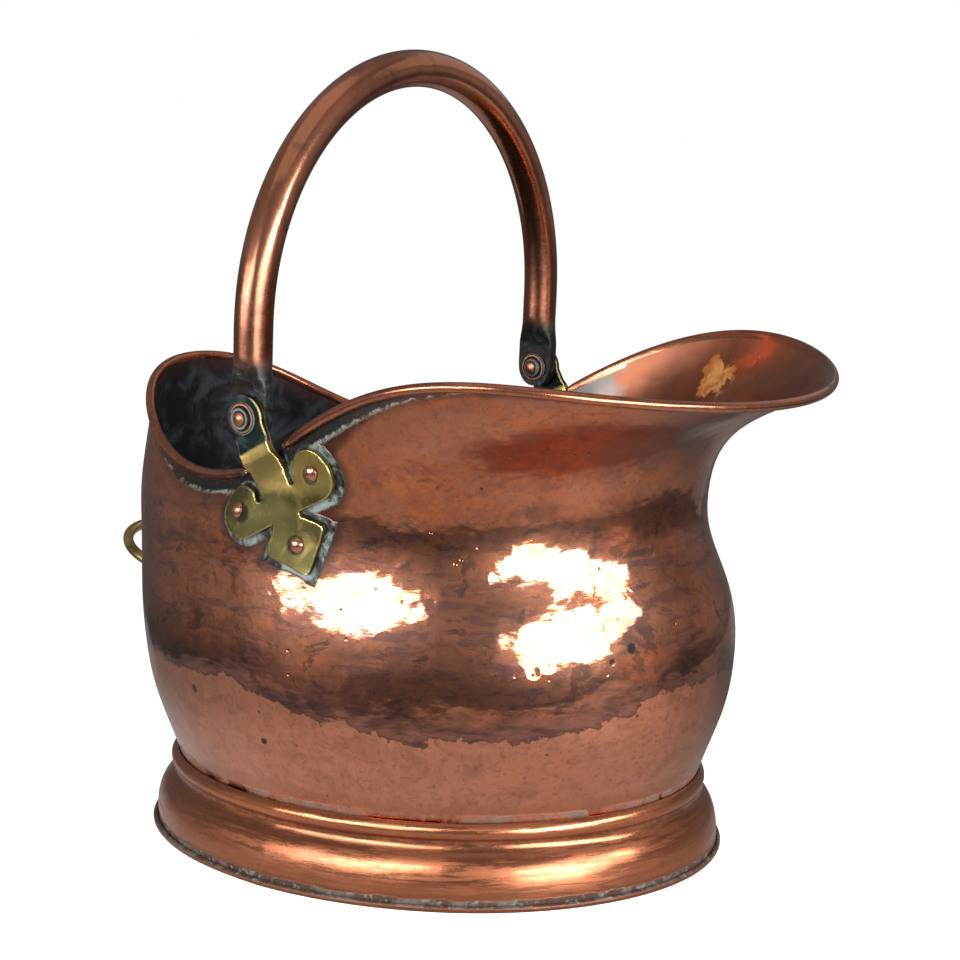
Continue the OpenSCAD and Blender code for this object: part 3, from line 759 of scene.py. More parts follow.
class HammeredCopper(Finish):
    """The outside of the body: planished copper, polished round the belly.

    It is dull and rosy below a ragged line, where the pale floor's reflection is painted, and brown
    above the neck.
    """

    name = "hammered_copper"
    seam_low = 0.0500
    seam_high = 0.0518

    def paint(self, kit: Kit) -> None:
        """Builds hammer marks, patina, stains, dents, the crust along edges, a painted floor
        reflection and painted shade.

        Args:
            kit: The material under construction.
        """
        skin = CopperSkin(kit)
        colour = self.stains(kit, skin, self.patina(kit, skin))
        colour, crust = self.edges(kit, skin, colour)
        dull = (skin.grain + skin.mottle.swing(0.8)).step(0.35, 0.75)
        rough = 0.045 + dull * 0.04 + skin.high * 0.12 + skin.low * 0.08 + crust * 0.4
        kit.surface(
            colour,
            rough,
            1.0 - crust * 0.85,
            self.relief(kit, skin, crust),
            haze=0.2,
            Coat_Weight=0.3 - crust * 0.3,
            Coat_Roughness=0.4,
        )

    def patina(self, kit: Kit, skin: CopperSkin) -> Signal:
        """Colours the rosy bottom, where the pale floor's reflection is painted, the polished belt
        and the brown above the neck.

        Args:
            kit: The material under construction.
            skin: The body's patterns.

        Returns:
            The colour.
        """
        # Painted reflection of the pale floor: lighter, rosier copper below the line
        reflected_floor = kit.blend(skin.patches.step(0.42, 0.62) * 0.5, FLOOR_REFLECTION_COPPER, BRIGHT_COPPER)
        rust = kit.layers(
            kit.blend(skin.blotches.step(0.4, 0.62), RUST_COPPER, RED_COPPER),
            (skin.mottle.step(0.48, 0.58) * skin.patches.step(0.42, 0.52) * 0.85, AMBER_COPPER),
            (skin.streaks.step(0.48, 0.64) * 0.5, PLUM_COPPER),
            (skin.blotches.step(0.56, 0.66) * 0.4, DARK_STAIN),
        )
        return kit.layers(
            kit.blend(skin.clouds.step(0.3, 0.7) * 0.6, BRIGHT_COPPER, BROWN_COPPER),
            (skin.low * 0.85, reflected_floor),
            (skin.high * (0.5 + skin.patches.step(0.35, 0.6) * 0.5), rust),
            (skin.lines.step(0.5, 0.6) * (skin.belt * 0.8 + 0.1), PLUM_COPPER),
            (skin.lines.step(0.46, 0.36) * skin.belt * 0.65, AMBER_COPPER),
            (skin.mottle.step(0.47, 0.62) * (0.3 + skin.belt * 0.3), BROWN_COPPER),
            (skin.mottle.step(0.47, 0.36) * skin.low * 0.15, AMBER_COPPER),
            (skin.blotches.step(0.5, 0.62) * skin.low * 0.4, BROWN_COPPER),
            (skin.grain.step(0.5, 0.7) * 0.35, DARK_STAIN),
        )

    def stains(self, kit: Kit, skin: CopperSkin, colour: Signal) -> Signal:
        """Lays the scale, painted shade in a band over the reflection line, the pits and the single
        spots on it.

        Args:
            kit: The material under construction.
            skin: The body's patterns.
            colour: The colour below.

        Returns:
            The stained colour.
        """
        tide = skin.blotches + skin.grain.swing(0.1)
        scale = tide.step(0.55, 0.62)
        ring = abs(tide - 0.552).step(0.014, 0.003) * skin.patches.step(0.42, 0.55)
        # Painted shade: a darker band just over the reflection line, and a dark line along it
        shade_band = skin.above.step(0.026, 0.003) * (1.0 - skin.low)
        outline = skin.above.step(0.0022, 0.0008) * (1.0 - skin.low)
        dark = skin.pits * 0.8
        for mark in MARKS:
            if mark.dark > 0.0:
                spot = kit.near(mark.place, mark.radius) + skin.grain.swing(0.9)
                dark = dark.most(spot.step(0.3, 0.6) * mark.dark)
        return kit.layers(
            colour,
            (scale * skin.belt * 0.6, DARK_STAIN),
            (ring * skin.belt * 0.75, AMBER_COPPER),
            (
                shade_band * (0.5 + skin.clouds * 0.6),
                kit.blend(skin.lines.step(0.4, 0.6), PLUM_COPPER, DARK_STAIN),
            ),
            (outline * 0.5, DARK_STAIN),
            (dark, kit.blend(skin.grain.step(0.4, 0.6), SOOT, TEAL)),
        )

    def edges(self, kit: Kit, skin: CopperSkin, colour: Signal) -> tuple[Signal, Signal]:
        """Lays scorch and crust along the rim, round the lugs and over the foot, with painted shade
        in the gaps beside the lugs and the bead.

        Args:
            kit: The material under construction.
            skin: The body's patterns.
            colour: The colour below.

        Returns:
            The colour with its edges, and how much crust covers a place.
        """
        lug = LugShape()
        rim = kit.own("rim_gap")
        beside = lug.nearness(kit)
        # The lugs lie on the flanks, over the belly
        sides = abs(kit.y).step(0.09, 0.1) * kit.z.step(0.15, 0.16)
        border = lug.gap(kit) + skin.streaks.swing(0.005) + skin.grain.swing(0.0008)
        halo = border.step(0.0052, 0.0038) * sides
        scorch = border.step(0.0115, 0.004) * sides
        outer = rim.step(0.0001, 0.0006)
        ragged_rim = rim + skin.streaks.swing(0.008) + skin.grain.swing(0.002)
        reach = ragged_rim / (0.002 + beside * 0.0062)
        band = reach.step(1.1, 0.9) * outer * (0.7 + beside * 0.3)
        rim_scorch = (ragged_rim / (0.005 + beside * 0.009)).step(1.1, 0.3) * outer
        seam_rise = kit.z + skin.streaks.swing(0.004)
        seam = seam_rise.step(self.seam_high, self.seam_low) * skin.patches.step(0.42, 0.52)
        heat = (kit.z + skin.streaks.swing(0.006)).step(0.061, 0.0525)
        flakes = (skin.streaks + skin.grain.swing(0.3)).step(0.4, 0.56)
        ring_out = (border + skin.patches.swing(0.006)).step(0.0027, 0.0016)
        ring_round = border.step(0.0002, 0.001) * ring_out * sides
        pale_rim = reach.step(0.66, 0.85) * flakes
        pale = pale_rim.most(ring_round * (0.15 + flakes * 0.7)).most(seam * 0.45)
        crust = halo.most(band).most(seam * (0.4 + flakes * 0.4))
        # Dark crust, which right beside the lug's edge and the bead also stands for painted shade in
        # the gap
        soot_and_gap_shade = kit.blend(skin.grain.step(0.45, 0.65) * 0.6, SOOT, TEAL)
        chalky = skin.streaks.step(0.45, 0.62) * (1.0 - seam) * 0.8
        colour = kit.layers(
            colour,
            (heat * 0.45, kit.blend(skin.patches.step(0.4, 0.6), BROWN_COPPER, RED_COPPER)),
            ((scorch * 0.85).most(rim_scorch * 0.7), DARK_STAIN),
            (
                (crust * (0.75 + skin.grain * 0.5)).least(1.0),
                kit.blend(pale, soot_and_gap_shade, kit.blend(chalky, VERDIGRIS, CHALK)),
            ),
        )
        return colour, crust

    def relief(self, kit: Kit, skin: CopperSkin, crust: Signal) -> Signal:
        """Raises the hammer marks, the long waves and the crust, and sinks pits and dents.

        Args:
            kit: The material under construction.
            skin: The body's patterns.
            crust: How much crust covers a place.

        Returns:
            The height in metres.
        """
        hammer = kit.cells(120.0, 0.3) ** 2.0
        blows = kit.cells(52.0, 0.25) ** 2.0
        height = hammer * 0.00009 + blows * 0.00034
        height = height + kit.noise(17.0, 2.0) * 0.0015
        height = height + kit.noise(46.0, 2.0, 0.5, 0.4) * 0.0004
        height = height + kit.noise(75.0, 2.0, 0.4, 0.2, 1.3) * 0.0002
        height = height + kit.noise(150.0, 3.0, 0.6, 0.2, 4.0) * 0.00003
        height = height + skin.mottle * skin.low * 0.00004 + skin.grain * 0.000006
        height = height + crust * skin.grain * 0.0005 - skin.pits * 0.0002
        for mark in MARKS:
            if mark.depth > 0.0:
                height = height - kit.near(mark.place, mark.radius) * mark.depth
        return height


class TarnishedLining(Finish):
    """The inside of the body: old tin gone blue-black, worn to copper on the spout."""

    name = "tarnished_lining"
    black: Colour = (0.03, 0.03, 0.036)
    slate: Colour = (0.11, 0.125, 0.15)
    tin: Colour = (0.16, 0.155, 0.145)
    lit_amber: Colour = (0.7, 0.36, 0.12)
    lit_red: Colour = (0.5, 0.15, 0.035)
    glint: Place = (0.108, 0.135, 0.262)

    def paint(self, kit: Kit) -> None:
        """Builds the tarnish, what is left of the tin, the worn copper, painted shade back from the
        spout's tip and a painted glint.

        Args:
            kit: The material under construction.
        """
        clouds = kit.noise(13.0, 4.0, 0.6)
        blots = kit.noise(48.0, 5.0, 0.62, 0.6)
        flecks = kit.noise(85.0, 5.0, 0.68, 0.5)
        grain = kit.noise(210.0, 3.0)
        worn = (kit.x + clouds.swing(0.06)).step(-0.02, 0.01)
        worn = worn * (kit.z + blots.swing(0.04)).step(0.2, 0.235)
        fresh = (kit.x + blots.swing(0.05)).step(0.045, 0.028) * kit.y.step(0.0, 0.05)
        # Painted shade: the worn copper darker and duller back from the spout's tip
        shade = (kit.x + clouds.swing(0.03)).step(0.125, 0.08)
        # Painted glint: amber and red light painted round a point inside the spout and in flecks, on
        # less metal
        lit = kit.near(self.glint, 0.032) * 1.1 + flecks.swing(1.6) + blots.swing(1.2)
        lit = lit.step(0.55, 0.75)
        edge = (abs(kit.own("rim_gap")) + blots.swing(0.012)).step(0.01, 0.002)
        dark_copper = kit.blend(clouds.step(0.5, 0.6), RED_COPPER, PLUM_COPPER)
        copper = kit.layers(
            kit.blend(clouds.step(0.35, 0.6) * 0.8, BRIGHT_COPPER, BROWN_COPPER),
            (blots.step(0.45, 0.65) * 0.5, dark_copper),
            (shade * 0.8, kit.blend(blots, DARK_STAIN, BROWN_COPPER)),
        )
        colour = kit.layers(
            kit.blend(blots.step(0.45, 0.66) * 0.7, self.black, self.slate),
            (worn, copper),
            (fresh * worn * (0.4 + blots * 1.1), self.tin),
            (lit, kit.blend(flecks.step(0.42, 0.6), self.lit_amber, self.lit_red)),
            (edge * (1.0 - worn) * 0.6, DARK_STAIN),
        )
        hammer = kit.cells(75.0, 0.35) ** 2.0
        relief = hammer * 0.00028 + kit.noise(20.0, 2.0) * 0.0016 + grain * 0.00002
        rough = 0.42 - worn * (0.22 - shade * 0.18) + blots * 0.12
        kit.surface(colour, rough, 0.8 + worn * 0.2 - lit * 0.55, relief)


class FootCopper(Finish):
    """Spun copper of the foot, with crust in its seams and on its lower edge."""

    name = "foot_copper"
    spun_copper: Colour = (0.57, 0.2, 0.085)
    shaded_copper: Colour = (0.34, 0.115, 0.055)

    def paint(self, kit: Kit) -> None:
        """Builds the colour by height over the mouldings, with ragged crust lines.

        Args:
            kit: The material under construction.
        """
        clouds = kit.noise(14.0, 4.0)
        streaks = kit.noise(55.0, 5.0, 0.65, 1.2)
        spun = kit.noise(26.0, 6.0, 0.75, 0.3, 14.0)
        grain = kit.noise(300.0, 3.0)
        height = kit.z + streaks.swing(0.003)
        seam = kit.z.step(0.0483, 0.0494) * clouds.step(0.38, 0.5)
        groove = height.step(0.0385, 0.0365) * height.step(0.0335, 0.035)
        groove = groove * streaks.step(0.44, 0.56)
        bottom = (kit.z + streaks.swing(0.005)).step(0.0072, 0.0058) * kit.z.step(0.0022, 0.0032)
        # Darker in the groove under the bead, towards the bottom edge and along the seam
        dark_bands = (groove * 0.8).most(height.step(0.010, 0.006) * 0.7).most(seam)
        crust = seam.most(bottom * 0.95)
        flakes = (streaks + grain.swing(0.6)).step(0.42, 0.62)
        crust_colour = kit.layers(
            kit.blend(flakes, TEAL, VERDIGRIS),
            (grain.step(0.56, 0.66) * 0.7, CHALK),
        )
        colour = kit.layers(
            kit.blend(clouds.step(0.3, 0.7) * 0.6, self.spun_copper, BROWN_COPPER),
            (streaks.step(0.45, 0.65) * 0.4, RED_COPPER),
            (spun.step(0.5, 0.62) * 0.55, BROWN_COPPER),
            (kit.z.step(0.041, 0.032) * 0.75, self.shaded_copper),
            (grain.step(0.5, 0.75) * 0.3, DARK_STAIN),
            (dark_bands * 0.6, DARK_STAIN),
            ((crust * (0.6 + grain * 0.5)).least(1.0), crust_colour),
        )
        relief = kit.noise(36.0, 2.0) * 0.0005 + spun * 0.00006 + grain * 0.000008
        relief = relief + crust * grain * 0.0003
        worn = (grain + streaks.swing(0.5)).step(0.45, 0.75)
        rough = 0.12 + kit.z.step(0.036, 0.027) * 0.06 + spun.step(0.42, 0.6) * 0.24
        rough = rough + worn * 0.08 + crust * 0.4
        lacquer = 0.15 - crust * 0.15
        metal = 1.0 - crust * 0.8
        kit.surface(colour, rough, metal, relief, haze=0.2, Coat_Weight=lacquer, Coat_Roughness=0.35)


class HandleCopper(Finish):
    """The handle's tube, rubbed by hands, black and green at its flattened ends."""

    name = "handle_copper"

    def paint(self, kit: Kit) -> None:
        """Builds the rubbed tube and the crusted ends.

        Args:
            kit: The material under construction.
        """
        clouds = kit.noise(12.0, 4.0)
        streaks = kit.noise(70.0, 5.0, 0.65, 1.0)
        grain = kit.noise(300.0, 3.0)
        # Darker, rougher and with less coat down the lower legs
        dull_lower_legs = (kit.z + clouds.swing(0.03)).step(0.365, 0.335)
        end = (kit.z + streaks.swing(0.016)).step(0.3, 0.288)
        inner = abs(kit.y).step(0.1395, 0.1405)
        smear = end * streaks.step(0.46, 0.62) * (0.35 + inner * 0.4)
        right, left = (kit.near((PIVOT_X, side.value * HALF_SPAN, PIVOT_Z), 0.018) for side in Side)
        crust = smear.most((right + left).step(0.1, 0.3) * streaks.step(0.42, 0.6) * 0.6)
        colour = kit.layers(
            kit.blend(clouds.step(0.3, 0.68) * 0.75, BRIGHT_COPPER, BROWN_COPPER),
            (streaks.step(0.5, 0.7) * 0.4, DARK_STAIN),
            (kit.z.step(0.35, 0.31) * 0.6, BROWN_COPPER),
            (dull_lower_legs * (0.45 + streaks * 0.4), DARK_STAIN),
            (end * 0.95, kit.blend(streaks.step(0.35, 0.55), SOOT, TEAL)),
            (crust, kit.blend(grain.step(0.45, 0.65), TEAL, VERDIGRIS)),
        )
        relief = kit.noise(30.0, 2.0) * 0.0006 + kit.noise(90.0, 2.0) * 0.0001
        relief = relief + grain * 0.000008 + end * streaks * 0.0003
        worn = (grain + streaks.swing(0.5)).step(0.35, 0.75)
        rough = 0.14 + worn * 0.08 + dull_lower_legs * 0.1 + end * 0.15
        lacquer = 0.35 - dull_lower_legs * 0.3
        metal = 1.0 - (crust * 0.7 + end * 0.4).least(0.95)
        kit.surface(colour, rough, metal, relief, haze=0.25, Coat_Weight=lacquer, Coat_Roughness=0.35)


@dataclass(frozen=True)
class SmallMetal:
    """Colours, gloss and wear of one metal on small pieces, clean and tarnished."""

    clean: Colour
    tarnished: Colour
    gloss: float
    dullness: float
    patches: float
    ridges: float


class SmallFinish(Finish):
    """Lug rivets and wires: one metal with patches of tarnish."""

    def __init__(self, name: str, metal: SmallMetal) -> None:
        """Keeps the name and the numbers of this finish."""
        super().__init__()
        self.name = name
        self.metal = metal

    def paint(self, kit: Kit) -> None:
        """Builds the patches, the grain and small hammer marks.

        Args:
            kit: The material under construction.
        """
        metal = self.metal
        spots = kit.noise(230.0, 4.0, 0.6, 0.5)
        grain = kit.noise(900.0, 3.0)
        worn = spots.step(0.62 - metal.patches * 0.3, 0.72 - metal.patches * 0.2)
        colour = kit.blend(worn, metal.clean, metal.tarnished)
        relief = kit.cells(420.0, 0.4) * metal.ridges + grain * 0.000006
        rough = metal.gloss + worn * (metal.dullness - metal.gloss) + grain * 0.06
        kit.surface(colour, rough, 1.0 - worn * 0.3, relief)


class PivotMetal(Finish):
    """Washers and rivet heads of the pivots, with rings of dirt and pale crust round the axis."""

    name = "pivot_metal"
    rubbed_copper: Colour = (0.42, 0.17, 0.1)

    def paint(self, kit: Kit) -> None:
        """Builds the rings by the distance from the pivot's axis.

        Args:
            kit: The material under construction.
        """
        spots = kit.noise(230.0, 4.0, 0.6, 0.5)
        grain = kit.noise(900.0, 3.0)
        out = span(kit.x - PIVOT_X, kit.z - PIVOT_Z) + spots.swing(0.0008)
        bare = out.step(0.0038, 0.0032)
        rubbed = out.step(0.0069, 0.0073) * out.step(0.0082, 0.0078)
        inner_ring = out.step(0.0042, 0.0047) * out.step(0.006, 0.0055)
        pale = inner_ring.most(out.step(0.0085, 0.0089))
        copper = kit.blend(spots.step(0.5, 0.65) * 0.6, self.rubbed_copper, DARK_STAIN)
        colour = kit.layers(
            kit.blend(spots.step(0.4, 0.7), SOOT, TEAL),
            (pale * (0.5 + spots * 0.6), kit.blend(grain, VERDIGRIS, CHALK)),
            (bare.most(rubbed * 0.7), copper),
        )
        relief = kit.cells(420.0, 0.4) * 0.0001 + grain * 0.000006
        metal = 0.25 + bare.most(rubbed) * 0.75
        kit.surface(colour, 0.5 - bare * 0.15 + grain * 0.06, metal, relief)


class LugBrass(Finish):
    """Cast brass of the lugs, olive in the flat, bright along rubbed edges with a painted highlight,
    dark at the ear, partly as painted shade.
    """

    name = "lug_brass"
    bright: Colour = (0.34, 0.25, 0.08)
    olive: Colour = (0.095, 0.083, 0.032)
    rubbed: Colour = (0.62, 0.49, 0.2)
    ear_slant = 0.47

    def paint(self, kit: Kit) -> None:
        """Builds the satin casting, its wear with a painted highlight on the edges, painted light on
        the strap, painted shade at the ear, and dirt with painted shade round the rivets.

        Args:
            kit: The material under construction.
        """
        clouds = kit.noise(45.0, 4.0, 0.6, 0.5)
        scratches = kit.noise(160.0, 5.0, 0.7, 2.0)
        grain = kit.noise(700.0, 3.0)
        lug = LugShape()
        edge = kit.own("edge_wear")
        # The strap over the rim is painted brighter, as light falls on its upward facet; elsewhere
        # bright and olive lie in cloudy patches
        strap = (kit.z + clouds.swing(0.01)).step(0.22, 0.23)
        flat = (clouds.step(0.28, 0.55) + 0.45 - strap * 1.1).least(1.0).most(0.0)
        # Dirt round the rivet heads, darkest where they meet the plate, with painted shade there too
        soot_and_gap_shade = (lug.rivets(kit) + scratches.swing(0.002)).step(0.0068, 0.0042)
        # The ear is dark teal, partly crust and partly painted shade
        ear = (lug.axes(kit)[1] + clouds.swing(0.003)).step(0.0185, 0.0165)
        slanted = kit.x - PIVOT_X - (kit.z - PIVOT_Z) * self.ear_slant
        # The ear's side turned from the light; only on the other side do its edges keep their painted
        # highlight
        shaded = slanted.step(0.004, -0.002)
        crust = ear * clouds.step(0.5, 0.62) * (0.25 + edge * 0.3)
        # Rubbed edges are lighter, with a painted highlight on them
        colour = kit.layers(
            kit.blend(flat, self.bright, self.olive),
            (scratches.step(0.56, 0.66) * 0.3, self.bright),
            (edge * (0.4 + clouds * 0.9), self.rubbed),
            (soot_and_gap_shade * 0.85, SOOT),
            (ear * (1.0 - edge * (1.0 - shaded) * 0.9), TEAL),
            (crust, VERDIGRIS),
        )
        relief = clouds * 0.00012 + scratches * 0.00002 + grain * 0.000006
        rough = 0.32 + clouds * 0.12 + grain * 0.06 - edge * 0.12 + ear * 0.15 + soot_and_gap_shade * 0.2
        kit.surface(colour, rough, 1.0 - crust - soot_and_gap_shade * 0.4, relief)


class GripBrass(Finish):
    """Polished brass of the rear grip and its discs."""

    name = "grip_brass"
    polished: Colour = (0.60, 0.44, 0.15)
    tarnished: Colour = (0.20, 0.14, 0.05)

    def paint(self, kit: Kit) -> None:
        """Builds the polish with thin brown tarnish.

        Args:
            kit: The material under construction.
        """
        clouds = kit.noise(40.0, 4.0, 0.6, 0.6)
        grain = kit.noise(500.0, 3.0)
        colour = kit.blend(clouds.step(0.45, 0.7), self.polished, self.tarnished)
        relief = clouds * 0.00015 + grain * 0.000008
        kit.surface(colour, 0.2 + clouds * 0.12 + grain * 0.05, 1.0, relief)


RIVET_COPPER = SmallFinish(
    "rivet_copper",
    SmallMetal((0.56, 0.24, 0.16), (0.2, 0.075, 0.05), 0.2, 0.4, 0.35, 0.00018),
)
IRON_WIRE = SmallFinish(
    "iron_wire",
    SmallMetal((0.16, 0.14, 0.13), (0.06, 0.04, 0.03), 0.45, 0.8, 0.5, 0.00006),
)
PIVOT_METAL = PivotMetal()


# Pieces


@dataclass
class HelmetBody:
    """The raised body with its rolled rim, smooth over the CAD sheet."""

    bead: float = 0.0014
    edge: float = 0.0004
    levels: int = 2
    outside: HammeredCopper = field(default_factory=HammeredCopper)
    lining: TarnishedLining = field(default_factory=TarnishedLining)

    def build(self) -> Bench:
        """Rounds the sheet's panels into one surface and tells inside from outside.

        Returns:
            The bench with the finished body.
        """
        bench = Bench.copy_of("body_sheet", "helmet_body")
        bench.round_panels(self.levels)
        self.measure(bench.piece)
        return bench

    def wires(self) -> list[BVHTree]:
        """Search trees of the two rim wires."""
        trees = []
        for node in ("front_rim_wire", "rear_rim_wire"):
            mesh = frame["nodes"][node].data
            points = [point.co for point in mesh.vertices]
            faces = [face.vertices for face in mesh.polygons]
            trees.append(BVHTree.FromPolygons(points, faces))
        return trees

    def measure(self, piece: bpy.types.Object) -> None:
        """Writes each point's distance from the rolled rim into the piece, negative inside.

        Args:
            piece: The body.
        """
        trees = self.wires()
        gap = piece.data.attributes.new("rim_gap", "FLOAT", "POINT")
        for index, point in enumerate(piece.data.vertices):
            nearest = min(tree.find_nearest(point.co)[3] for tree in trees) - self.bead
            gap.data[index].value = -nearest if faces_inside(point.co, point.normal) else nearest

    def dress(self, bench: Bench) -> None:
        """Gives the outside its copper and the inside its lining.

        Args:
            bench: The bench with the body.
        """
        self.outside.dress(bench.piece)
        gaps = [value.value for value in bench.piece.data.attributes["rim_gap"].data]

        def is_lining(face: bmesh.types.BMFace) -> bool:
            """Tells whether a face lies inside and clear of the rolled rim."""
            clear = all(abs(gaps[point.index]) > self.edge for point in face.verts)
            return clear and faces_inside(face.calc_center_median(), face.normal)

        bench.line(self.lining, is_lining)
        bench.finish(BUCKET, "sheet_copper", "body_sheet")


@dataclass
class MouldedFoot:
    """The foot's mouldings, smooth over the CAD ring."""

    levels: int = 2
    ledge_low: float = 0.0395
    ledge_high: float = 0.0435
    finish: FootCopper = field(default_factory=FootCopper)

    def build(self) -> Bench:
        """Rounds the ring's panels.

        Returns:
            The bench with the finished foot.
        """
        bench = Bench.copy_of("foot_ring", "moulded_foot")
        bench.round_panels(self.levels)
        return bench

    def is_ledge(self, face: bmesh.types.BMFace) -> bool:
        """Tells whether a face lies on the ledge that the body stands on, inside the bucket.

        Args:
            face: The face.

        Returns:
            True for a face of the ledge.
        """
        place = face.calc_center_median()
        level = face.normal.z > 0.5 and self.ledge_low < place.z < self.ledge_high
        return level and faces_inside(place, face.normal)

    def dress(self, bench: Bench, lining: TarnishedLining) -> None:
        """Gives the foot its copper, and the ledge inside the bucket the lining.

        Args:
            bench: The bench with the foot.
            lining: The finish of the bucket's inside.
        """
        self.finish.dress(bench.piece)
        bench.line(lining, self.is_ledge)
        bench.finish(BUCKET, "foot_copper", "foot_ring")


@dataclass
class CastLug:
    """One brass lug with the soft edges of a casting."""

    side: Side
    grain: float = 0.0006
    rounding: int = 6
    facet: float = 110.0
    levelling: int = 160
    wear_start: float = 150.0
    wear_range: float = 350.0
    finish: LugBrass = field(default_factory=LugBrass)

    def build(self) -> Bench:
        """Casts the lug anew from the CAD solid and softens its edges.

        Returns:
            The bench with the finished lug.
        """
        bench = Bench.copy_of(f"lug_{self.side.word}", f"cast_lug_{self.side.word}")
        bench.piece.data.remesh_voxel_size = self.grain
        bench.hold()
        bpy.ops.object.voxel_remesh()
        bench.modify("SMOOTH", factor=0.5, iterations=self.rounding)
        flats = bench.piece.vertex_groups.new(name="flats")
        for index, bend in enumerate(self.bends(bench.piece)):
            flats.add([index], clamp(2.0 - abs(bend) / self.facet), "REPLACE")
        bench.modify("SMOOTH", factor=0.5, iterations=self.levelling, vertex_group="flats")
        bench.smooth()
        # Rubbed edges, which also carry a painted highlight, found by how sharply the lug turns
        wear_and_highlight = bench.piece.data.attributes.new("edge_wear", "FLOAT", "POINT")
        for index, bend in enumerate(self.bends(bench.piece)):
            wear_and_highlight.data[index].value = clamp((bend - self.wear_start) / self.wear_range)
        return bench

    def bends(self, piece: bpy.types.Object) -> list[float]:
        """Measures how sharply the lug turns at each point, positive on outer edges.

        Args:
            piece: The lug.

        Returns:
            One bend for each point, in turns of one radian for each metre.
        """
        mesh = piece.data
        bend = [0.0] * len(mesh.vertices)
        count = [0] * len(mesh.vertices)
        for edge in mesh.edges:
            first, second = (mesh.vertices[index] for index in edge.vertices)
            run = second.co - first.co
            if run.length < SHORTEST:
                continue
            turn = (second.normal - first.normal).dot(run) / run.length_squared
            for index in edge.vertices:
                bend[index] += turn
                count[index] += 1
        return [total / max(times, 1) for total, times in zip(bend, count)]

    def dress(self, bench: Bench) -> None:
        """Gives the lug its brass.

        Args:
            bench: The bench with the lug.
        """
        self.finish.dress(bench.piece)
        bench.finish(BUCKET, "lug_brass", f"lug_{self.side.word}")


@dataclass
class PivotSet:
    """Rivets, washers and rings of one side, with softened corners."""

    side: Side
    corner: float = 0.0003

    def washers(self) -> None:
        """Rounds the corners of the two washers and the ring."""
        for part in ("outer_washer", "pivot_ring", "inner_washer"):
            node = f"{part}_{self.side.word}"
            bench = Bench.copy_of(node, f"soft_{node}")
            bench.soften(self.corner)
            bench.smooth(35.0)
            PIVOT_METAL.dress(bench.piece)
            bench.finish(BUCKET, "washer_copper", node)

    def rivets(self) -> None:
        """Smooths the rivets' domes."""
        for part, finish in (("lug_rivets", RIVET_COPPER), ("pivot_rivet", PIVOT_METAL)):
            node = f"{part}_{self.side.word}"
            bench = Bench.copy_of(node, f"domed_{node}")
            bench.smooth(40.0)
            finish.dress(bench.piece)
            bench.finish(BUCKET, "rivet_copper", node)


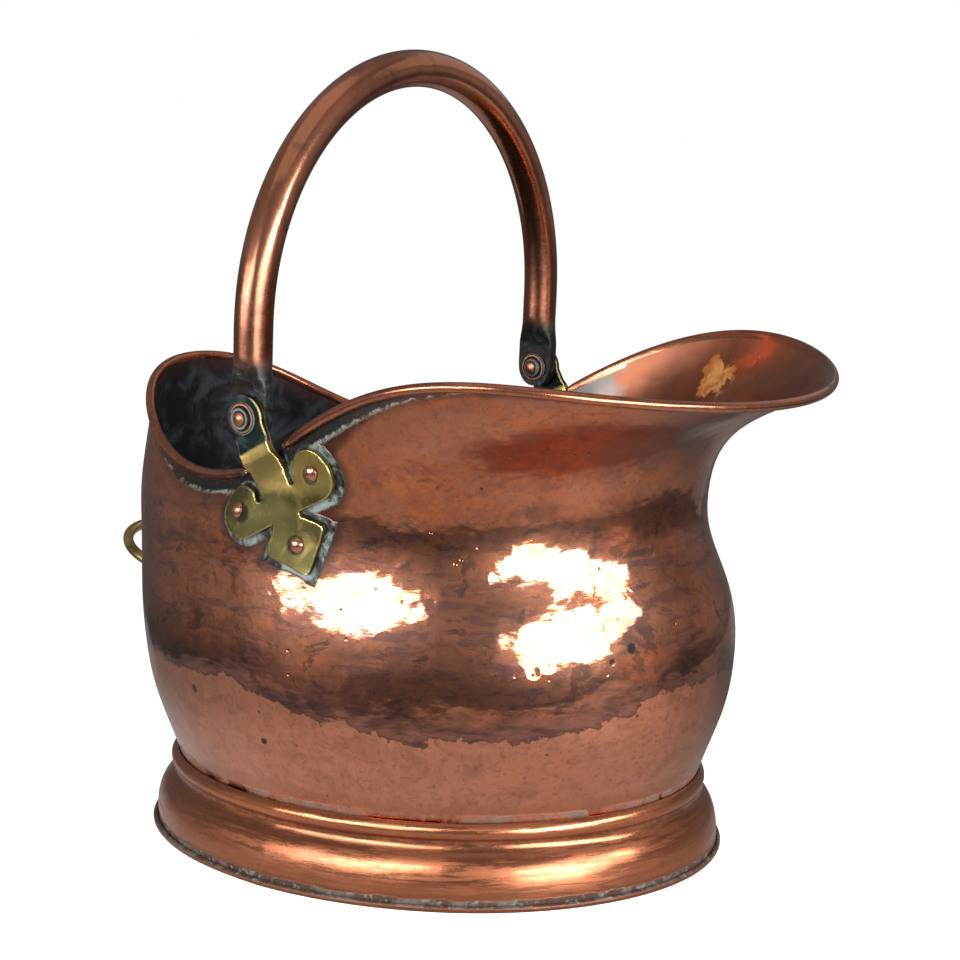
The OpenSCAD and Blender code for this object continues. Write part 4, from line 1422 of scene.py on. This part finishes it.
@dataclass
class SwingHandle:
    """The tubular handle, drawn from ring to ring, flattened and pierced at its ends."""

    pivot: Vector
    leg: float = 0.0495
    lean: float = math.radians(4.7)
    tube: float = 0.0106
    paddle_half: float = 0.0125
    paddle_thick: float = 0.0035
    flat_from: float = 0.0143
    round_from: float = 0.0323
    bore: float = 0.00408
    rings: tuple[float, ...] = (
        0.045, 0.039, 0.0345, 0.0323, 0.029, 0.0257, 0.0224, 0.019, 0.0165, 0.0143, 0.009,
        0.003, -0.002, -0.0055, -0.0083, -0.0103, -0.0116, -0.0123,
    )
    sides: int = 32
    arch_steps: int = 20
    levels: int = 2
    finish: HandleCopper = field(default_factory=HandleCopper)

    def build(self) -> Bench:
        """Models one half, mirrors it, rounds it and drills it.

        Returns:
            The bench with the finished handle.
        """
        Bench.clear()
        top = (0.0, 0.0, self.leg + HALF_SPAN)
        bpy.ops.mesh.primitive_circle_add(
            vertices=self.sides, radius=self.tube, location=top, rotation=(math.pi / 2, 0.0, 0.0)
        )
        bench = Bench.adopt("swing_handle")
        bpy.ops.object.transform_apply(location=True, rotation=True, scale=True)
        with bench.edit() as mesh:
            bpy.ops.mesh.select_all(action="SELECT")
            middle = (0.0, 0.0, self.leg)
            bpy.ops.mesh.spin(
                steps=self.arch_steps, angle=math.pi / 2, center=middle, axis=(1.0, 0.0, 0.0)
            )
            self.draw_leg(bench, mesh)
        axes = (False, True, False)
        bench.modify("MIRROR", use_axis=axes, use_mirror_merge=True, merge_threshold=MERGE)
        with bench.edit():
            bpy.ops.mesh.select_all(action="SELECT")
            bpy.ops.mesh.normals_make_consistent(inside=False)
        bench.modify("SUBSURF", levels=self.levels, render_levels=self.levels)
        self.drill(bench)
        bench.hold()
        place = Matrix.Translation(self.pivot) @ Matrix.Rotation(self.lean, 4, "Y")
        bench.piece.matrix_world = place
        bpy.ops.object.transform_apply(location=True, rotation=True, scale=True)
        bench.smooth(40.0)
        return bench

    def draw_leg(self, bench: Bench, mesh: bmesh.types.BMesh) -> None:
        """Draws the leg down from the arch, flattens it and rounds its end.

        Args:
            bench: The bench with the half handle in edit mode, its lowest ring selected.
            mesh: The same mesh, for finding its points.
        """
        lowest = min(point.co.z for point in mesh.verts)
        side = -1.0 if min(point.co.y for point in mesh.verts) < -self.tube else 1.0
        middle = side * HALF_SPAN
        height = lowest
        wide = self.tube
        tall = self.tube
        for level in self.rings:
            share = clamp((self.round_from - level) / (self.round_from - self.flat_from))
            share = share * share * (3.0 - 2.0 * share)
            thick = self.tube + (self.paddle_thick - self.tube) * share
            reach = self.tube + (self.paddle_half - self.tube) * share
            if level < 0.0:
                reach = math.sqrt(self.paddle_half**2 - level**2)
            crown = thick + self.paddle_thick * share
            move = {"value": (0.0, 0.0, level - height)}
            bpy.ops.mesh.extrude_region_move(TRANSFORM_OT_translate=move)
            if share > 0.0:
                sizes = (reach / wide, crown / tall, 1.0)
                self.stretch(bench, mesh, level, (0.0, middle, level), sizes)
                self.press(bench, mesh, level, middle, thick)
                tall = thick
                self.pick_ring(bench, mesh, level)
            wide = reach
            height = level
        bpy.ops.mesh.edge_face_add()

    def pick_ring(self, bench: Bench, mesh: bmesh.types.BMesh, level: float) -> None:
        """Selects the ring at one height.

        Args:
            bench: The bench in edit mode.
            mesh: The mesh in edit mode.
            level: The ring's height.
        """
        bench.pick_points(mesh, lambda place: abs(place.z - level) < MERGE)

    def stretch(
        self, bench: Bench, mesh: bmesh.types.BMesh, level: float, centre: tuple, sizes: tuple
    ) -> None:
        """Scales the ring at one height about a centre.

        Args:
            bench: The bench in edit mode.
            mesh: The mesh in edit mode.
            level: The ring's height.
            centre: The point that stays.
            sizes: The three factors.
        """
        self.pick_ring(bench, mesh, level)
        bpy.ops.transform.resize(value=sizes, center_override=centre)

    def press(
        self, bench: Bench, mesh: bmesh.types.BMesh, level: float, middle: float, thick: float
    ) -> None:
        """Presses what stands out over the ring's thickness down to two flats.

        Args:
            bench: The bench in edit mode.
            mesh: The mesh in edit mode.
            level: The ring's height.
            middle: The ring's place along Y.
            thick: Half the thickness that is left.
        """
        for sign in (-1.0, 1.0):
            face = middle + sign * thick
            bench.pick_points(
                mesh,
                lambda place: abs(place.z - level) < MERGE and (place.y - face) * sign > 0.0,
            )
            if any(point.select for point in mesh.verts):
                bpy.ops.transform.resize(value=(1.0, 0.0, 1.0), center_override=(0.0, face, level))

    def drill(self, bench: Bench) -> None:
        """Drills both ends for the pivot rivets.

        Args:
            bench: The bench with the whole handle.
        """
        for side in Side:
            Bench.clear()
            bpy.ops.mesh.primitive_cylinder_add(
                vertices=48,
                radius=self.bore,
                depth=0.03,
                location=(0.0, side.value * HALF_SPAN, 0.0),
                rotation=(math.pi / 2, 0.0, 0.0),
            )
            drill = bpy.context.active_object
            bench.modify("BOOLEAN", object=drill, operation="DIFFERENCE", solver="EXACT")
            bpy.data.objects.remove(drill)

    def dress(self, bench: Bench) -> None:
        """Gives the handle its copper.

        Args:
            bench: The bench with the handle.
        """
        self.finish.dress(bench.piece)
        bench.finish(HANDLE, "handle_copper", "bail_handle")


@dataclass
class RearGrip:
    """The fixed brass grip on the back with its discs and roves."""

    corner: float = 0.0005
    finish: GripBrass = field(default_factory=GripBrass)

    def build(self) -> None:
        """Smooths the bar and softens the discs' corners."""
        for node in ("rear_grip", "grip_discs", "grip_roves"):
            bench = Bench.copy_of(node, f"polished_{node}")
            if node != "rear_grip":
                bench.soften(self.corner)
            bench.smooth(35.0)
            self.finish.dress(bench.piece)
            bench.finish(BUCKET, "grip_brass", node)


@dataclass
class HiddenMetal:
    """CAD nodes whose own shape stays: the wires and the bottom plate."""

    lining: TarnishedLining

    def dress(self) -> None:
        """Gives the wires their iron and the bottom its lining."""
        for node in ("front_rim_wire", "rear_rim_wire", "foot_wire"):
            IRON_WIRE.dress(frame["nodes"][node])
            log.info("%s dressed", node)
        plate = frame["nodes"]["bottom_plate"]
        self.lining.dress(plate)
        log.info("bottom_plate dressed")


# Studio


@dataclass(frozen=True)
class Softbox:
    """One soft light, placed by the direction that it shines from."""

    azimuth: float
    elevation: float
    distance: float
    width: float
    height: float
    radiance: float
    turn: float = 0.0

    def build(self, name: str, aim: Vector) -> None:
        """Hangs the light and turns it to the bucket.

        Args:
            name: Name of the light.
            aim: The point that it shines at.
        """
        back = outward(math.radians(self.azimuth), math.radians(self.elevation))
        data = bpy.data.lights.new(name, "AREA")
        data.shape = "RECTANGLE"
        data.size = self.width
        data.size_y = self.height
        data.energy = self.radiance * math.pi * self.width * self.height
        lamp = bpy.data.objects.new(name, data)
        bpy.context.scene.collection.objects.link(lamp)
        lamp.location = aim + back * self.distance
        level = (-back).to_track_quat("-Z", "Y").to_matrix()
        lamp.rotation_euler = (level @ Matrix.Rotation(math.radians(self.turn), 3, "Z")).to_euler()


@dataclass
class Studio:
    """Pale floor, soft lights, the dim room that the metal mirrors, and the camera."""

    azimuth: float = math.radians(35.796)
    elevation: float = math.radians(9.134)
    roll: float = math.radians(-1.458)
    distance: float = 1.16907
    target: Vector = field(default_factory=lambda: Vector((0.0281, 0.0, 0.21339)))
    lens: float = 75.44
    sheet_turn: float = 19.0
    sheet_front: float = 0.297
    sheet_depth: float = 1.2
    sheet_half: float = 0.53
    shadow: Place = (0.09, 0.31, 0.0)
    glare: Place = (0.37, -0.07, 0.0)
    floor_half: float = 16.0
    room_radius: float = 6.0
    backdrop_radius: float = 11.0
    aim: Vector = field(default_factory=lambda: Vector((0.02, 0.0, 0.18)))
    softboxes: tuple[Softbox, ...] = (
        Softbox(-20.0, 11.2, 1.5, 0.92, 0.37, FRONT_LIGHT, 0.0),
        Softbox(1.5, 15.5, 1.5, 0.46, 0.32, FRONT_LIGHT, 33.0),
        Softbox(60.0, 4.8, 1.5, 0.98, 0.64, FRONT_LIGHT, 19.0),
        Softbox(88.0, 15.0, 1.5, 0.53, 0.37, FRONT_LIGHT, 20.0),
        Softbox(20.0, 78.0, 1.6, 1.6, 1.6, FILL_LIGHT),
        Softbox(165.0, 35.0, 1.8, 1.8, 0.9, FILL_LIGHT),
    )

    def build(self) -> None:
        """Builds all of the studio."""
        self.place_camera()
        for number, softbox in enumerate(self.softboxes):
            softbox.build(f"softbox_{number}", self.aim)
        self.lay_floor()
        self.lay_sheet()
        self.hang_backdrop()
        self.paint_room()
        self.light_world()
        bpy.context.scene.view_settings.view_transform = "Standard"

    def place_camera(self) -> None:
        """Sets up the camera at the photograph's point of view."""
        data = bpy.data.cameras.new("camera")
        data.lens = self.lens
        data.sensor_width = 36.0
        camera = bpy.data.objects.new("camera", data)
        bpy.context.scene.collection.objects.link(camera)
        back = outward(self.azimuth, self.elevation)
        level = Vector((math.cos(self.azimuth), math.sin(self.azimuth), 0.0))
        upward = back.cross(level)
        right = level * math.cos(self.roll) + upward * math.sin(self.roll)
        above = upward * math.cos(self.roll) - level * math.sin(self.roll)
        spot = self.target + back * self.distance
        turned = Matrix((right, above, back)).transposed().to_4x4()
        camera.matrix_world = Matrix.Translation(spot) @ turned
        data.clip_start = 0.05
        data.clip_end = 50.0
        bpy.context.scene.camera = camera

    def lay_floor(self) -> None:
        """Lays the pale floor that the camera sees and the metal doesn't mirror."""
        Bench.clear()
        bpy.ops.mesh.primitive_plane_add(size=2.0 * self.floor_half)
        ground = Bench.adopt("pale_floor")
        ground.piece.visible_glossy = False
        kit = Kit("pale_floor")
        reach = span(kit.x, kit.y) + kit.noise(3.0, 2.0).swing(0.05)
        far = reach.step(0.35, 1.1)
        colour = kit.blend(far, (0.84, 0.84, 0.84), (0.02, 0.02, 0.02))
        light = kit.blend(far, (0.8, 0.8, 0.8), (1.0, 1.0, 1.0))
        kit.surface(colour, 0.85, 0.0, Emission_Color=light, Emission_Strength=1.0)
        ground.piece.data.materials.append(kit.material)

    def lay_sheet(self) -> None:
        """Lays the glowing sheet on the floor that only the metal mirrors, dimmer than the floor,
        with a painted shadow behind the bucket and a painted glare.
        """
        turn = math.radians(self.sheet_turn)
        middle = self.sheet_front - self.sheet_depth / 2.0
        place = (math.sin(turn) * middle, -math.cos(turn) * middle, 0.0)
        Bench.clear()
        bpy.ops.mesh.primitive_plane_add(size=1.0, location=place, rotation=(0.0, 0.0, turn))
        sheet = Bench.adopt("mirrored_sheet")
        sheet.piece.scale = (2.0 * self.sheet_half, self.sheet_depth, 1.0)
        bpy.ops.object.transform_apply(location=True, rotation=True, scale=True)
        for rays in ("camera", "diffuse", "shadow"):
            setattr(sheet.piece, f"visible_{rays}", False)
        kit = Kit("mirrored_sheet")
        aside = kit.x * math.cos(self.azimuth) + kit.y * math.sin(self.azimuth)
        bright = 0.68 - abs(aside + 0.06).step(0.08, 0.34) * 0.24
        bright = bright * (0.55 + self.toward(kit).step(-0.3, 0.1) * 0.45)
        bright = bright * (1.0 - kit.near(self.shadow, 0.34) * 0.6)
        bright = bright + kit.noise(9.0, 3.0).swing(0.15) + kit.near(self.glare, 0.23) * 0.5
        light = kit.blend(bright, (0.0, 0.0, 0.0), (1.0, 0.97, 0.94))
        self.glow(kit, light, sheet)

    def toward(self, kit: Kit) -> Signal:
        """Distance from the bucket's middle towards the camera, over the floor."""
        return kit.x * math.sin(self.azimuth) - kit.y * math.cos(self.azimuth)

    def hang_backdrop(self) -> None:
        """Hangs the pale backdrop that only the camera sees."""
        backdrop = self.glowing_ball("backdrop", self.backdrop_radius)
        backdrop.piece.visible_glossy = False
        self.glow(Kit("pale_backdrop"), (1.0, 1.0, 1.0), backdrop)

    def paint_room(self) -> None:
        """Hangs the dim room that only the metal mirrors, with darker and lighter places."""
        room = self.glowing_ball("room", self.room_radius)
        room.piece.visible_camera = False
        kit = Kit("dim_room")
        clouds = kit.noise(0.3, 2.0)
        rise = kit.z / self.room_radius
        toward = self.toward(kit) / self.room_radius
        light = kit.layers(
            kit.blend(rise.step(-0.24, 0.0), (0.085, 0.08, 0.08), (0.32, 0.305, 0.30)),
            (toward.step(-0.4, -0.95) * 0.6, (0.06, 0.055, 0.055)),
            (clouds.step(0.35, 0.65) * 0.5, (0.09, 0.085, 0.085)),
            (rise.step(-0.385, -0.46), (0.60, 0.57, 0.55)),
            (kit.near((-2.9, -5.2, -0.8), 2.6), (0.44, 0.40, 0.40)),
            (kit.near((2.1, -5.6, 0.1), 1.9) * 0.7, (0.1, 0.09, 0.09)),
            (kit.near((5.87, 0.93, -0.8), 1.6), (0.85, 0.66, 0.5)),
        )
        self.glow(kit, light, room)

    def light_world(self) -> None:
        """Gives the scene its dim light from all round."""
        world = bpy.data.worlds.new("dim_room")
        world.use_nodes = True
        shade = world.node_tree.nodes["Background"]
        shade.inputs["Color"].default_value = (0.25, 0.24, 0.24, 1.0)
        shade.inputs["Strength"].default_value = 1.0
        bpy.context.scene.world = world

    def glowing_ball(self, name: str, radius: float) -> Bench:
        """Adds a sphere round the studio that casts no light on it.

        Args:
            name: The sphere's name.
            radius: Its radius.

        Returns:
            The bench that holds it.
        """
        Bench.clear()
        bpy.ops.mesh.primitive_uv_sphere_add(segments=48, ring_count=24, radius=radius)
        bench = Bench.adopt(name)
        bench.piece.visible_diffuse = False
        bench.piece.visible_shadow = False
        return bench

    def glow(self, kit: Kit, light: Signal | Colour, bench: Bench) -> None:
        """Ends a material in plain light and gives it to a piece of the studio.

        Args:
            kit: The material under construction.
            light: Colour of the light.
            bench: The bench with the piece.
        """
        kit.close(kit.node("ShaderNodeEmission", {}, {"Color": light, "Strength": 1.0}))
        bench.piece.data.materials.append(kit.material)


def main() -> None:
    """Builds the studio and every piece, in order."""
    logging.basicConfig(level=logging.INFO, format="%(name)s: %(message)s")
    Studio().build()
    body = HelmetBody()
    body.dress(body.build())
    foot = MouldedFoot()
    foot.dress(foot.build(), body.lining)
    for side in Side:
        lug = CastLug(side)
        lug.dress(lug.build())
        pivots = PivotSet(side)
        pivots.washers()
        pivots.rivets()
    joint = frame["joints"][0]
    handle = SwingHandle(Vector(joint["pos_m"]))
    handle.dress(handle.build())
    RearGrip().build()
    HiddenMetal(body.lining).dress()


if __name__ == "__main__":
    main()
